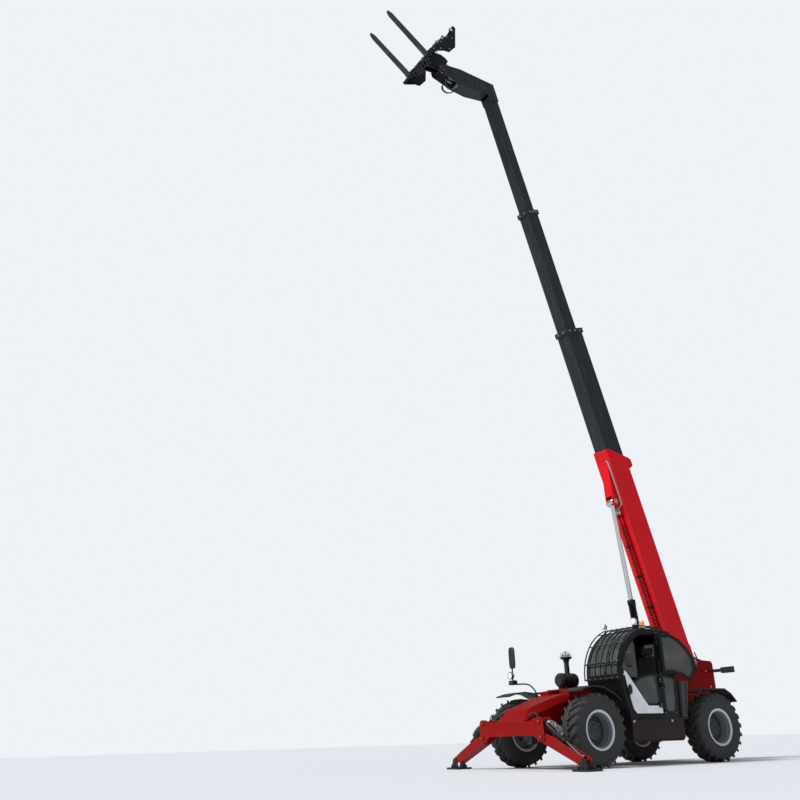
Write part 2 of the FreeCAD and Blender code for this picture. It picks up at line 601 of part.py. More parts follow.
def boom_head():
    """Goose neck from the end of the inner section down to the carriage pivot."""
    mouth = SECTIONS[3][6]
    low = SECTIONS[3][2]
    top = low + SECTIONS[3][3]
    # side plate outline in boom axes, rear-top corner first
    side = [(mouth - 120, top + 12), (mouth + 345, top + 12), (mouth + 660, -904),
            (HEAD_PIVOT_S + 120, HEAD_PIVOT_T + 60), (HEAD_PIVOT_S + 120, HEAD_PIVOT_T - 30),
            (HEAD_PIVOT_S + 60, HEAD_PIVOT_T - 110), (HEAD_PIVOT_S - 60, HEAD_PIVOT_T - 110),
            (mouth + 265, -1107), (mouth + 119, -730), (mouth + 60, low), (mouth - 120, low)]
    half = HEAD_HALF_WIDTH
    plate = prism_y(side, half - HEAD_PLATE, half)
    pieces = both_sides(plate)
    inner = half - HEAD_PLATE
    # cover plates along the edges, open where the hoses loop out; columns: the strip's two ends
    strips = [((mouth + 348, top), (mouth + 556, -600)), ((mouth + 63, low - 30), (mouth + 100, -560)),
              ((mouth + 158, -830), (mouth + 230, -1017))]
    for (s0, t0), (s1, t1) in strips:
        length = hypot(s1 - s0, t1 - t0)
        centre_s, centre_t = mouth + 320, -600
        nx, nz = -(t1 - t0) / length, (s1 - s0) / length
        if nx * (centre_s - s0) + nz * (centre_t - t0) < 0:
            nx, nz = -nx, -nz
        # set in by 4 between the side plates, 12 thick
        strip = [(s0 + d * nx, t0 + d * nz) for s0, t0, d in
                 ((s0, t0, 4), (s1, t1, 4), (s1, t1, 16), (s0, t0, 16))]
        pieces.append(prism_y(strip, -inner - 1, inner + 1))
    pieces.append(box(mouth + 1, mouth + 13, -inner - 1, inner + 1, low + 5, top))
    pieces.append(box(mouth - 105, mouth + 325, -inner - 1, inner + 1, top + SEAT, top + 9))
    hole = pin_y(HEAD_PIVOT_S, HEAD_PIVOT_T, 35 + SEAT, -200, 200)
    base = pin_y(TILT_BASE[0], TILT_BASE[1], 28, -half - 12, half + 12)
    return fuse(pieces).cut(hole).fuse(base)


# Tilt cylinder between the goose neck and the carriage; both ends in boom axes at rest
TILT_BASE = (13680.0, -260.0)


def carriage_point(x, z):
    """Boom axes of a place given in fork axes."""
    a = radians(FORK_ANGLE - BOOM_ANGLE)
    return (HEAD_PIVOT_S + x * cos(a) - z * sin(a), HEAD_PIVOT_T + x * sin(a) + z * cos(a))


TILT_EYE = carriage_point(66.0, 374.0)
TILT_DS = TILT_EYE[0] - TILT_BASE[0]
TILT_DT = TILT_EYE[1] - TILT_BASE[1]
TILT_LENGTH = hypot(TILT_DS, TILT_DT)
TILT_TURN = degrees(atan2(TILT_DT, TILT_DS))
TILT_BARREL_LENGTH = 820.0


def in_tilt(solid):
    solid = solid.copy()
    solid.rotate(V(0, 0, 0), V(0, 1, 0), -TILT_TURN)
    solid.translate(V(TILT_BASE[0], 0, TILT_BASE[1]))
    return in_boom(solid)


def tilt_barrel():
    tube = rod((30, 0, 0), (TILT_BARREL_LENGTH, 0, 0), TILT_BARREL_RADIUS)
    eye = pin_y(0, 0, 50, -50, 50)
    bore = fuse([rod((70, 0, 0), (TILT_BARREL_LENGTH + 5, 0, 0), TILT_ROD_RADIUS + SEAT),
                 pin_y(0, 0, 28 + SEAT, -60, 60)])
    return in_tilt(tube.fuse(eye).cut(bore))


def tilt_rod():
    bar = rod((TILT_BARREL_LENGTH - 455, 0, 0), (TILT_LENGTH - 20, 0, 0), TILT_ROD_RADIUS)
    return in_tilt(fuse([bar, pin_y(TILT_LENGTH, 0, 42, -40, 40)]))


def hoses():
    """Pair of wrapped hoses clipped along the middle of the outer boom's underside."""
    low = SECTIONS[0][2]
    depth = HOSE_RADIUS + SEAT
    pieces = []
    for y in (-HOSE_RADIUS - 4, HOSE_RADIUS + 4):
        pieces.append(rod((430, y, low - depth), (3290, y, low - depth), HOSE_RADIUS))
    reach = 2 * HOSE_RADIUS + 16
    for s in (600, 1250, 1900, 2550, 3200):
        pieces.append(box(s, s + 30, -reach, reach, low - depth - 12, low - SEAT))
    return fuse(pieces)


export("boom_outer", in_boom(boom_outer()))
export("boom_hoses", in_boom(hoses()))
for index in (1, 2, 3):
    export("boom_" + SECTIONS[index][0], in_boom(tube_section(index)))
export("boom_head", in_boom(boom_head()))
export("tilt_barrel", tilt_barrel())
export("tilt_rod", tilt_rod())


# Lift cylinder, from its foot pin to the rod eye

LIFT_EYE_X, LIFT_EYE_Z = boom_point(LIFT_EYE_S, LIFT_EYE_T)
LIFT_DX = LIFT_EYE_X - ahead(LIFT_BASE_X)
LIFT_DZ = LIFT_EYE_Z - LIFT_BASE_Z
LIFT_LENGTH = hypot(LIFT_DX, LIFT_DZ)
LIFT_TURN = degrees(atan2(LIFT_DZ, LIFT_DX))


def in_lift(solid):
    solid = solid.copy()
    solid.rotate(V(0, 0, 0), V(0, 1, 0), -LIFT_TURN)
    solid.translate(V(ahead(LIFT_BASE_X), 0, LIFT_BASE_Z))
    return solid


def lift_barrel():
    tube = rod((60, 0, 0), (LIFT_BARREL_LENGTH, 0, 0), LIFT_BARREL_RADIUS)
    gland = rod((LIFT_BARREL_LENGTH - 90, 0, 0), (LIFT_BARREL_LENGTH, 0, 0), LIFT_BARREL_RADIUS + 8)
    eye = pin_y(0, 0, 85, -100, 100)
    bore = fuse([rod((120, 0, 0), (LIFT_BARREL_LENGTH + 5, 0, 0), LIFT_ROD_RADIUS + SEAT),
                 pin_y(0, 0, 40, -110, 110)])
    return in_lift(fuse([tube, gland, eye]).cut(bore))


def lift_rod():
    bar = rod((LIFT_BARREL_LENGTH - 350, 0, 0), (LIFT_LENGTH - 40, 0, 0), LIFT_ROD_RADIUS)
    return in_lift(fuse([bar, pin_y(LIFT_LENGTH, 0, LIFT_EYE_RADIUS, -80, 80)]))


export("lift_barrel", lift_barrel())
export("lift_rod", lift_rod())


# Carriage and forks, in fork axes with the carriage pivot at the origin

def carriage():
    face = CARRIAGE_FACE
    wide = CARRIAGE_HALF_WIDTH
    # cross rails; columns: x0, x1, z0, z1
    rails = [(face - 60, face, -430, -350), (face - 60, face, -215, -165), (face - 60, face, -60, 0),
             (face - 60, face, 215, 275), (face - 50, face - 20, 90, 120)]
    pieces = [box(x0, x1, -wide, wide, z0, z1) for x0, x1, z0, z1 in rails]
    end_plate = [(face - 320, -60), (face - 230, -140), (face - 60, -430), (face, -430), (face, 330),
                 (face + 60, 640), (face + 60, 720), (face - 20, 720), (face - 330, 230)]
    pieces += both_sides(prism_y(end_plate, wide - 14, wide))
    # upright bars
    for y in (-300, 270):
        pieces.append(box(face - 75, face - 15, y, y + 30, -430, 275))
    # lugs on the pivot
    lug = [(-55, -45), (0, -70), (60, -60), (face - 55, -350), (face - 55, 275), (240, 400), (110, 430),
           (20, 420), (-5, 250), (-55, 40)]
    for y0, y1 in ((60, 85), (-85, -60)):
        pieces.append(prism_y(lug, y0, y1))
    pieces.append(pin_y(0, 0, 35, -HEAD_HALF_WIDTH - 14, HEAD_HALF_WIDTH + 14))
    pieces.append(pin_y(0, 0, 60, -HEAD_HALF_WIDTH + HEAD_PLATE + 2, HEAD_HALF_WIDTH - HEAD_PLATE - 2))
    return in_carriage(fuse(pieces))


def fork_pair():
    face = CARRIAGE_FACE + SEAT
    half = FORK_WIDTH / 2
    low = FORK_UNDERSIDE
    blade = [(face, low), (face + FORK_LENGTH - 30, low + 34), (face + FORK_LENGTH, low + 40),
             (face + FORK_LENGTH, low + FORK_THICKNESS), (face + FORK_THICKNESS, low + FORK_THICKNESS),
             (face + FORK_THICKNESS, 275), (face, 275)]
    tip = face + FORK_LENGTH
    pieces = []
    for y in (-FORK_SPREAD, FORK_SPREAD):
        # narrowing tip, seen from above
        plan = prism_z([(face - 1, y - half), (tip - FORK_TIP, y - half), (tip, y - half / 2), (tip, y + half / 2),
                        (tip - FORK_TIP, y + half), (face - 1, y + half)], low - 1, 276)
        pieces.append(prism_y(blade, y - half, y + half).common(plan))
    return in_carriage(Part.makeCompound(pieces))


export("carriage_frame", carriage())
export("forks", fork_pair())


# Cab

def arc_wire(y):
    """Closed side outline of the cab at the given Y."""
    def p(x, z):
        return V(ahead(x), y, z)
    sill_front, base, crown = p(-800, CAB_FLOOR), p(-650, 1480), p(-1290, 2365)
    roof_rear, back_top, back_waist, sill_rear = p(-1960, 2345), p(-2115, 2180), p(-2100, 1450), p(-2030, CAB_FLOOR)
    edges = [Part.makeLine(sill_front, base), Part.Arc(base, p(-800, 2010), crown).toShape(),
             Part.makeLine(crown, roof_rear), Part.Arc(roof_rear, p(-2070, 2300), back_top).toShape(),
             Part.makeLine(back_top, back_waist), Part.makeLine(back_waist, sill_rear),
             Part.makeLine(sill_rear, sill_front)]
    return Part.Wire(edges)


def cab_block(inset, y0, y1):
    """The cab's side outline moved in by inset, thick from y0 to y1."""
    wire = arc_wire(y0)
    if inset:
        wire = wire.makeOffset2D(-inset)
    return Part.Face(wire).extrude(V(0, y1 - y0, 0))


def screen_openings(gap):
    """Cutters for the windscreen, roof, right, rear and quarter windows, smaller by gap."""
    y0, y1 = CAB_RIGHT + PILLAR + gap, CAB_LEFT - PILLAR - gap

    def cut(points, a, b):
        return prism_y([(ahead(x), z) for x, z in points], a, b)
    front = cut([(-400, 1550 + gap), (-800, 1550 + gap), (-900, 1960), (-1240 + gap, 2290),
                 (-1240 + gap, 2500), (-400, 2500)], y0, y1)
    roof = box(ahead(-1830) + gap, ahead(-1340) - gap, y0, y1, 2250, 2500)
    right = cut([(-880 - gap, 1560 + gap), (-1990 + gap, 1560 + gap), (-1990 + gap, 2230 - gap),
                 (-1330 - gap, 2230 - gap), (-1010 - gap, 2010)], CAB_RIGHT - 20, CAB_RIGHT + 100)
    rear = box(ahead(-2300), ahead(-1950), y0, y1, 1530 + gap, 2150 - gap)
    quarter_high = cut([(-1720 - gap, 1600 + gap), (-2040 + gap, 1560 + gap), (-2045 + gap, 2130 - gap),
                        (-1930, 2240 - gap), (-1720 - gap, 2250 - gap)], CAB_LEFT - 100, CAB_LEFT + 20)
    quarter_low = cut([(-1720 - gap, 900 + gap), (-1940, 900 + gap), (-1990 + gap, 980),
                       (-2030 + gap, 1470 - gap), (-1720 - gap, 1530 - gap)], CAB_LEFT - 100, CAB_LEFT + 20)
    return [front, roof, right, rear, quarter_high, quarter_low]


# Left side door, measured from the front axle; columns: x, z
DOOR_LOWER = [(-735, 1640), (-790, 1350), (-880, 950), (-960, 862), (-1625, 862), (-1625, 1560),
              (-1420, 1565), (-1170, 1520), (-950, 1420), (-800, 1600)]
DOOR_UPPER = [(-760, 1655), (-812, 1606), (-955, 1433), (-1175, 1532), (-1420, 1577), (-1625, 1572),
              (-1625, 2265), (-1330, 2265), (-1130, 2180), (-930, 1995), (-815, 1815)]
DOOR_OPENING = [(-715, 1660), (-785, 1340), (-872, 945), (-955, 852), (-1637, 852), (-1637, 2277),
                (-1327, 2277), (-1122, 2190), (-922, 2003), (-803, 1820)]
LOWER_WINDOW = [(-985, 1395), (-1180, 1485), (-1420, 1530), (-1575, 1525), (-1575, 1040), (-1265, 1040)]
UPPER_WINDOW = [(-860, 1645), (-985, 1485), (-1190, 1580), (-1420, 1622), (-1575, 1617), (-1575, 2215),
                (-1345, 2215), (-1165, 2140), (-970, 1965), (-875, 1810)]


def side_prism(points, y0, y1):
    return prism_y([(ahead(x), z) for x, z in points], y0, y1)


def cab_shell():
    shell = cab_block(0, CAB_RIGHT, CAB_LEFT).cut(cab_block(CAB_WALL, CAB_RIGHT + CAB_WALL, CAB_LEFT - CAB_WALL))
    door = side_prism(DOOR_OPENING, CAB_LEFT - 100, CAB_LEFT + 20)
    shell = shell.cut(Part.makeCompound(screen_openings(0) + [door]))
    pieces = [shell]
    # fixed halves of the door hinges, each just below the door's own; columns: height
    for z in (950, 1380, 1680, 2120):
        pieces.append(Part.makeCylinder(14, 60, V(ahead(HINGE_X), HINGE_Y, z - 60 - SEAT)))
        pieces.append(box(ahead(HINGE_X) - 70, ahead(HINGE_X), CAB_LEFT - 5, HINGE_Y + 8, z - 60 - SEAT, z - SEAT))
    return fuse(pieces)


def cab_parts():
    """The cab's left side frame, and the rest of its shell."""
    whole = cab_shell()
    joint = CAB_LEFT - PILLAR
    left = box(ahead(-2300), ahead(-500), joint, HINGE_Y + 50, CAB_FLOOR - 100, 2600)
    return whole.cut(left), whole.common(left)


def cab_glass():
    outer = cab_block(8, CAB_RIGHT + 8, CAB_LEFT - 8)
    inner = cab_block(8 + GLASS, CAB_RIGHT + 8 + GLASS, CAB_LEFT - 8 - GLASS)
    skin = outer.cut(inner)
    panes = []
    for cutter in screen_openings(SEAT):
        panes += skin.common(cutter).Solids
    return Part.makeCompound(panes)


def hinge_arm(z0, z1, reach):
    """Bent strap from a door's face out to its hinge."""
    x = ahead(HINGE_X)
    return box(x, x + reach, HINGE_Y - 8, HINGE_Y + 8, z0, z1).fuse(
        box(x + reach - 30, x + reach, CAB_LEFT - 5, HINGE_Y, z0, z1))


def lower_door():
    y0, y1 = CAB_LEFT - 40, CAB_LEFT
    door = side_prism(DOOR_LOWER, y0, y1)
    hinge = Part.makeCylinder(14, 120, V(ahead(HINGE_X), HINGE_Y, 950))
    second = Part.makeCylinder(14, 120, V(ahead(HINGE_X), HINGE_Y, 1380))
    pieces = [door]
    # columns: foot of the strap, how far it reaches over the door
    for z, reach in ((970, 110), (1400, 60)):
        pieces.append(hinge_arm(z, z + 80, reach))
    return fuse(pieces + [hinge, second]).cut(side_prism(LOWER_WINDOW, y0 - 1, y1 + 1))


def door_panel():
    """Pale skin of the lower door, an L below and ahead of its window."""
    panel = [(-745, 1612), (-796, 1345), (-888, 955), (-963, 872), (-1612, 872), (-1612, 1005),
             (-1262, 1005), (-950, 1395), (-800, 1578)]
    skin = side_prism(panel, CAB_LEFT + SEAT, CAB_LEFT + 14)
    recess = box(ahead(-862), ahead(-815), CAB_LEFT - 1, CAB_LEFT + 20, 1215, 1345)
    strap = box(ahead(HINGE_X), ahead(HINGE_X) + 114, CAB_LEFT - 1, CAB_LEFT + 20, 966, 1054)
    return skin.cut(fuse([recess, strap]))


def pane(points, y):
    return side_prism(points, y, y + GLASS)


def shrink(points, gap):
    """Polygon moved in by gap."""
    wire = Part.makePolygon([V(x, 0, z) for x, z in points + points[:1]])
    inner = wire.makeOffset2D(-gap, 2)
    return [(v.X, v.Z) for v in inner.OrderedVertexes]


def fold_back(shape):
    shape = shape.copy()
    shape.rotate(V(ahead(HINGE_X), HINGE_Y, 0), V(0, 0, 1), UPPER_DOOR_OPEN)
    return shape


def upper_door():
    y0, y1 = CAB_LEFT - 30, CAB_LEFT
    frame_bars = side_prism(DOOR_UPPER, y0, y1).cut(side_prism(UPPER_WINDOW, y0 - 1, y1 + 1))
    pieces = [frame_bars]
    for z in (1680, 2120):
        pieces.append(Part.makeCylinder(14, 100, V(ahead(HINGE_X), HINGE_Y, z)))
        pieces.append(hinge_arm(z + 15, z + 85, 60))
    return fuse(pieces)


def guard():
    """Bars over the windscreen and roof, standing off the cab."""
    off, thick = GUARD_OFF, GUARD_THICK
    band = cab_block(-off - thick, 0, 16).cut(cab_block(-off, -1, 17))
    keep = prism_y([(ahead(-500), 1470), (ahead(-900), 1470), (ahead(-900), 2100), (ahead(-1300), 2300),
                    (ahead(-1880), 2300), (ahead(-1880), 2600), (ahead(-500), 2600)], -2, 18)
    bar = band.common(keep)
    span = CAB_LEFT - CAB_RIGHT - 16
    count = 7
    pieces = []
    for index in range(count):
        item = bar.copy()
        item.translate(V(0, CAB_RIGHT + span * index / (count - 1), 0))
        pieces.append(item)
    rung = cab_block(-off - thick, CAB_RIGHT, CAB_LEFT).cut(cab_block(-off, CAB_RIGHT - 1, CAB_LEFT + 1))
    # rungs across the bars; columns: x, z of a place on the guard
    for x, z in ((-600, 1490), (-675, 1760), (-850, 2080), (-1110, 2310), (-1600, 2410), (-1870, 2400)):
        slab = box(ahead(x) - 60, ahead(x) + 60, CAB_RIGHT, CAB_LEFT, z - 14, z + 14)
        if x < -1200:
            slab = box(ahead(x) - 12, ahead(x) + 12, CAB_RIGHT, CAB_LEFT, z - 70, z + 70)
        pieces.append(rung.common(slab))
    # stand-offs down to the cab's corner pillars
    for x, z, dx, dz in ((-600, 1490, -80, 0), (-1250, 2350, 20, 60), (-1870, 2330, 0, 75)):
        for y in (CAB_RIGHT + 2, CAB_LEFT - 18):
            if dx < 0:
                pieces.append(box(ahead(x + dx), ahead(x), y, y + 16, z - 10, z + 10))
            else:
                pieces.append(box(ahead(x) - 10, ahead(x) + 10, y, y + 16, z, z + dz))
    solid = fuse(pieces)
    return solid.cut(cab_block(-SEAT, CAB_RIGHT - 5, CAB_LEFT + 5))


def seat():
    x, y = ahead(-1620), 700
    pieces = [box(x - 180, x + 200, y - 170, y + 170, CAB_FLOOR + CAB_WALL + SEAT, 1180),
              box(x - 220, x + 270, y - 250, y + 250, 1180, 1300),
              prism_y([(x - 230, 1230), (x - 110, 1230), (x - 200, 1900), (x - 290, 1900)], y - 240, y + 240),
              prism_y([(x - 285, 1900), (x - 205, 1900), (x - 225, 2060), (x - 295, 2060)], y - 130, y + 130)]
    return fuse(pieces)


def dashboard():
    x = ahead(-760)
    floor = CAB_FLOOR + CAB_WALL + SEAT
    body = prism_y([(x - 200, floor), (x - 110, floor), (x + 15, 1400), (x - 30, 1450), (x - 130, 1490),
                    (x - 230, 1400)],
                   CAB_RIGHT + 120, CAB_LEFT - 160)
    wheel_centre = V(x - 330, 700, 1560)
    column = rod((x - 150, 700, 1380), (wheel_centre.x, 700, 1560), 24)
    section = [V(185 + 15 * cos(radians(a)), 0, 15 * sin(radians(a))) for a in range(0, 360, 60)]
    wheel = Part.Face(Part.makePolygon(section + section[:1])).revolve(V(0, 0, 0), V(0, 0, 1), 360)
    wheel.rotate(V(0, 0, 0), V(0, 1, 0), -27)
    wheel.translate(wheel_centre)
    spoke = rod((wheel_centre.x, 520, 1560), (wheel_centre.x, 880, 1560), 12)
    return fuse([body, column, wheel, spoke])


shell_rest, left_frame = cab_parts()
export("cab_shell", shell_rest)
export("cab_left_frame", left_frame)
export("cab_glass", cab_glass())
export("lower_door", lower_door())
export("door_panel", door_panel())
export("lower_door_glass", pane(shrink(LOWER_WINDOW, SEAT), CAB_LEFT - 24))
export("upper_door", fold_back(upper_door()))
export("upper_door_glass", fold_back(pane(shrink(UPPER_WINDOW, SEAT), CAB_LEFT - 18)))
export("cab_guard", guard())
export("operator_seat", seat())
export("dashboard", dashboard())


# Bodywork

def side_box():
    """Tank box below the cab, with the outriggers that carry it and the cab."""
    tank = prism_x([(470, 400), (1090, 400), (1140, 450), (1140, 765), (470, 765)],
                   ahead(-2140), ahead(-820))
    return tank


def side_carriers():
    """Cross members from the frame's left plate under the cab and box."""
    pieces = []
    for x in (-2000, -1000):
        pieces.append(box(ahead(x), ahead(x) + 120, FRAME_HALF_WIDTH + SEAT, 470 - SEAT, 560, 700))
    pieces.append(box(ahead(-2285), ahead(-805), FRAME_HALF_WIDTH + SEAT, 1140, 765 + SEAT, CAB_FLOOR - SEAT))
    return pieces


def rear_tank():
    """Dark panel box behind the cab."""
    return prism_y([(ahead(-2145), CAB_FLOOR), (ahead(-2290), CAB_FLOOR), (ahead(-2420), 1440),
                    (ahead(-2180), 1440)], FRAME_HALF_WIDTH + 60, 1120)


def fender_strip(points, y0, y1, thick):
    """Bent sheet along (x, z) points, thick downwards."""
    under = [(x, z - thick) for x, z in reversed(points)]
    return prism_y([(ahead(x), z) for x, z in points + under], y0, y1)


def fenders():
    front = [(400, 1272), (200, 1326), (0, 1347), (-200, 1330), (-420, 1240), (-600, 1112)]
    rear_x = -DRAWN_WHEELBASE
    rear = [(rear_x + 420, 1250), (rear_x + 300, 1312), (rear_x - 310, 1312), (rear_x - 480, 1225),
            (rear_x - 620, 1082)]
    pieces = []
    # columns: outline, where the arm is, where it starts, its underside
    for points, arm_x, arm_y, arm_z in ((front, -120, 400, 1285), (rear, rear_x - 150, FRAME_HALF_WIDTH, 1265)):
        sheet = fender_strip(points, 760, 1165, 22)
        arm = box(ahead(arm_x) - 40, ahead(arm_x) + 40, arm_y + SEAT, 775, arm_z, arm_z + 34)
        pieces += both_sides(fuse([sheet, arm]))
    return pieces


# hood hinges along X; columns: x0, x1
HOOD_KNUCKLES = [(ahead(-2180), ahead(-2120)), (ahead(-1500), ahead(-1440))]


def engine_bay():
    """Tub on the machine's right that carries the engine and the hood."""
    x0, x1 = ahead(-2290), ahead(-830)
    y0, y1 = -1120, -FRAME_HALF_WIDTH - SEAT
    low, deck = 560, 1400
    tub = box(x0, x1, y0, y1, low, 960)
    hollow = box(x0 + 20, x1 - 20, y0 + 20, y1 - 20, low + 20, 1500)
    front = prism_y([(x1 - 480, 960), (x1, 960), (x1 - 30, deck), (x1 - 480, deck)], y0, y1)
    front_hollow = prism_y([(x1 - 470, 900), (x1 - 20, 900), (x1 - 50, deck - 20), (x1 - 470, deck - 20)],
                           y0 + 20, y1 - 20)
    side = box(x0, x1 - 480, y1 - 20, y1, 900, deck)
    pieces = [tub.cut(hollow), front.cut(front_hollow), side]
    # fixed halves of the hood's hinges; columns: x0, x1
    for a, b in HOOD_KNUCKLES:
        knuckle_y = y1 - 26
        pieces.append(rod((b + SEAT, knuckle_y, 1455), (b + 60, knuckle_y, 1455), 12))
        pieces.append(box(b + SEAT, b + 60, y1 - 18, y1, deck - 10, 1460))
    return fuse(pieces)


def engine_hood():
    x0, x1 = ahead(-2290) - 8, ahead(-830) - 480 - RUN
    y0, y1 = -1150, -FRAME_HALF_WIDTH - 42
    knuckle_y = -FRAME_HALF_WIDTH - SEAT - 26
    outer = prism_x([(y0 + 24, 966), (y0, 1150), (y0 + 40, 1390), (y0 + 130, 1450), (y1, 1450), (y1, 966)], x0, x1)
    inner = prism_x([(y0 + 38, 900), (y0 + 16, 1150), (y0 + 54, 1382), (y0 + 138, 1434), (y1 + 10, 1434),
                     (y1 + 10, 900)], x0 + 14, x1 + 1)
    pieces = [outer.cut(inner)]
    for a, b in HOOD_KNUCKLES:
        pieces.append(rod((a, knuckle_y, 1455), (b, knuckle_y, 1455), 12))
        pieces.append(box(a, b, y1 - 30, knuckle_y, 1443, 1457))
    return fuse(pieces)


def air_cleaner():
    x, y, z = -1060, -720, 1560
    drum = rod((ahead(x - 200), y, z), (ahead(x + 210), y, z), 140)
    cap = rod((ahead(x + 210), y, z), (ahead(x + 240), y, z), 110)
    stack = rod((ahead(x - 20), y, z + 100), (ahead(x - 20), y, 1960), 50)
    # pre-cleaner bowl and dome; columns: radius, height
    outline = [(0, 1940), (95, 1940), (125, 2000), (113, 2055), (66, 2108), (0, 2125)]
    points = [V(ahead(x - 20) + r, y, h) for r, h in outline]
    dome = Part.Face(Part.makePolygon(points + points[:1])).revolve(V(ahead(x - 20), y, 0), V(0, 0, 1), 360)
    foot_a = box(ahead(x - 150), ahead(x - 100), y - 90, y + 90, 1400 + SEAT, z)
    foot_b = box(ahead(x + 110), ahead(x + 150), y - 90, y + 90, 1400 + SEAT, z)
    return fuse([drum, cap, stack, dome, foot_a, foot_b])


def mirrors():
    """Mirror and lamp heads with the tubes that carry them."""
    x, y = ahead(0), -1110
    stem = [(ahead(20), -415, 1050), (ahead(20), -430, 1340), (ahead(10), -640, 1470), (x, -1000, 1500),
            (x, y, 1520), (x, y, 1800)]
    pieces = [rod(a, b, 14) for a, b in zip(stem, stem[1:])]
    pieces.append(box(ahead(-25), ahead(65), -420, -400 - SEAT, 1005, 1075))
    pieces += [Part.makeSphere(14, V(*point)) for point in stem[1:-1]]
    pieces.append(box(x - 60, x + 60, y - 70, y + 60, 1490, 1580))
    pieces.append(box(x - 30, x + 10, y - 95, y + 85, 1800, 2210))
    pieces.append(rod((x - 30, y - 10, 1665), (x + 70, y - 10, 1665), 70))
    right = fuse(pieces)
    lx, ly = ahead(-745), 1240
    left = fuse([box(lx - 20, lx + 15, ly - 20, ly + 150, 1650, 1930),
                 rod((lx, CAB_LEFT + SEAT, 1780), (lx, ly, 1780), 12)])
    # bar behind the boom foot with the rear lamps
    rear = fuse([box(ahead(-4075), ahead(-4035), FRAME_HALF_WIDTH + SEAT, 920, 1670, 1730),
                 box(ahead(-4100), ahead(-4020), 620, 910, 1640, 1760)])
    return [right, left] + both_sides(rear)


def roof_lamps():
    pieces = []
    seat_block = cab_block(-GUARD_OFF - GUARD_THICK - SEAT, CAB_RIGHT - 200, CAB_LEFT + 200)
    for y in (CAB_RIGHT + 30, CAB_LEFT - 30):
        lamp = rod((ahead(-1245), y, 2495), (ahead(-1160), y, 2495), 58)
        foot_block = box(ahead(-1235), ahead(-1195), y - 40, y + 40, 2380, 2470)
        pieces.append(fuse([lamp, foot_block]).cut(seat_block))
    beacon = [Part.makeCylinder(62, 45, V(ahead(-1560), 960, 2400)), Part.makeCylinder(50, 100, V(ahead(-1560), 960, 2440))]
    pieces.append(fuse(beacon).cut(seat_block))
    return pieces


export("side_box", side_box())
export("cab_floor_carriers", side_carriers())
export("rear_tank", rear_tank())
export("fenders", fenders())
export("engine_bay", engine_bay())
export("engine_hood", engine_hood())
export("engine_block", box(ahead(-2150), ahead(-1330), -950, -430, 580 + SEAT, 1250))
export("air_cleaner", air_cleaner())
export("mirrors", mirrors())
export("roof_lamps", roof_lamps())
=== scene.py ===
"""Dresses the telehandler: finishes, fittings, hoses, lamps, glass and the cab's inside."""
from __future__ import annotations

import logging
from dataclasses import dataclass
from enum import Enum
from math import copysign, cos, pi, radians, sin
from typing import Any, Iterable, Sequence

import bmesh
import bpy
from mathutils import Matrix, Vector

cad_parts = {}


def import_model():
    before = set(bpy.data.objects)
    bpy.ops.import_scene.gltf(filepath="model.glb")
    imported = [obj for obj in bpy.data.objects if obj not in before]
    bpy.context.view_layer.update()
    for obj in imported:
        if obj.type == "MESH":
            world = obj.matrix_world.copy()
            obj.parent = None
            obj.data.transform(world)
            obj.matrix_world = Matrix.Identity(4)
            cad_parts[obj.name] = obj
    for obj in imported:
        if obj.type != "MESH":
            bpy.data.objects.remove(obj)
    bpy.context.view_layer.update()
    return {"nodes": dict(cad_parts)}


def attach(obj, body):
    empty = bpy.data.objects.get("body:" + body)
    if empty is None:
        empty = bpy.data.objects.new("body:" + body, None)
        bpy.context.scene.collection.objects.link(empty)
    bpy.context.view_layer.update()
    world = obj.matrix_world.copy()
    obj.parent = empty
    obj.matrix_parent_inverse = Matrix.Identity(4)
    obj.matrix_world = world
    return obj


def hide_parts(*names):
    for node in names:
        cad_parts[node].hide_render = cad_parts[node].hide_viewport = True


LOG = logging.getLogger("telehandler")
Point = Sequence[float]
Colour = tuple[float, float, float]


class Shade:
    """A shader socket that can be used in sums and products."""

    def __init__(self, bench: "FinishBench", socket: bpy.types.NodeSocket) -> None:
        """Keep the socket and the bench it lies on.

        Args:
            bench: the material under work.
            socket: the output to carry on from.
        """
        self.bench = bench
        self.socket = socket

    def _maths(self, operation: str, *values: Any) -> "Shade":
        """Add one Math node.

        Args:
            operation: the Math node's operation.
            values: numbers or Shades, in order.
        Returns:
            The node's result.
        """
        return self.bench.node("ShaderNodeMath", {"operation": operation}, dict(enumerate(values)))

    def __add__(self, other: Any) -> "Shade":
        """Sum."""
        return self._maths("ADD", self, other)

    __radd__ = __add__

    def __sub__(self, other: Any) -> "Shade":
        """Difference."""
        return self._maths("SUBTRACT", self, other)

    def __rsub__(self, other: Any) -> "Shade":
        """Difference from a number."""
        return self._maths("SUBTRACT", other, self)

    def __mul__(self, other: Any) -> "Shade":
        """Product."""
        return self._maths("MULTIPLY", self, other)

    __rmul__ = __mul__

    def clipped(self) -> "Shade":
        """The value held between 0 and 1."""
        return self.bench.node("ShaderNodeClamp", {}, {"Value": self})

    def stepped(self, low: float, high: float) -> "Shade":
        """Rise smoothly from 0 at low to 1 at high.

        Args:
            low: the value where the rise starts.
            high: the value where it ends.
        Returns:
            The risen value.
        """
        return self.bench.node("ShaderNodeMapRange", {"interpolation_type": "SMOOTHSTEP"},
            {"Value": self, "From Min": low, "From Max": high})


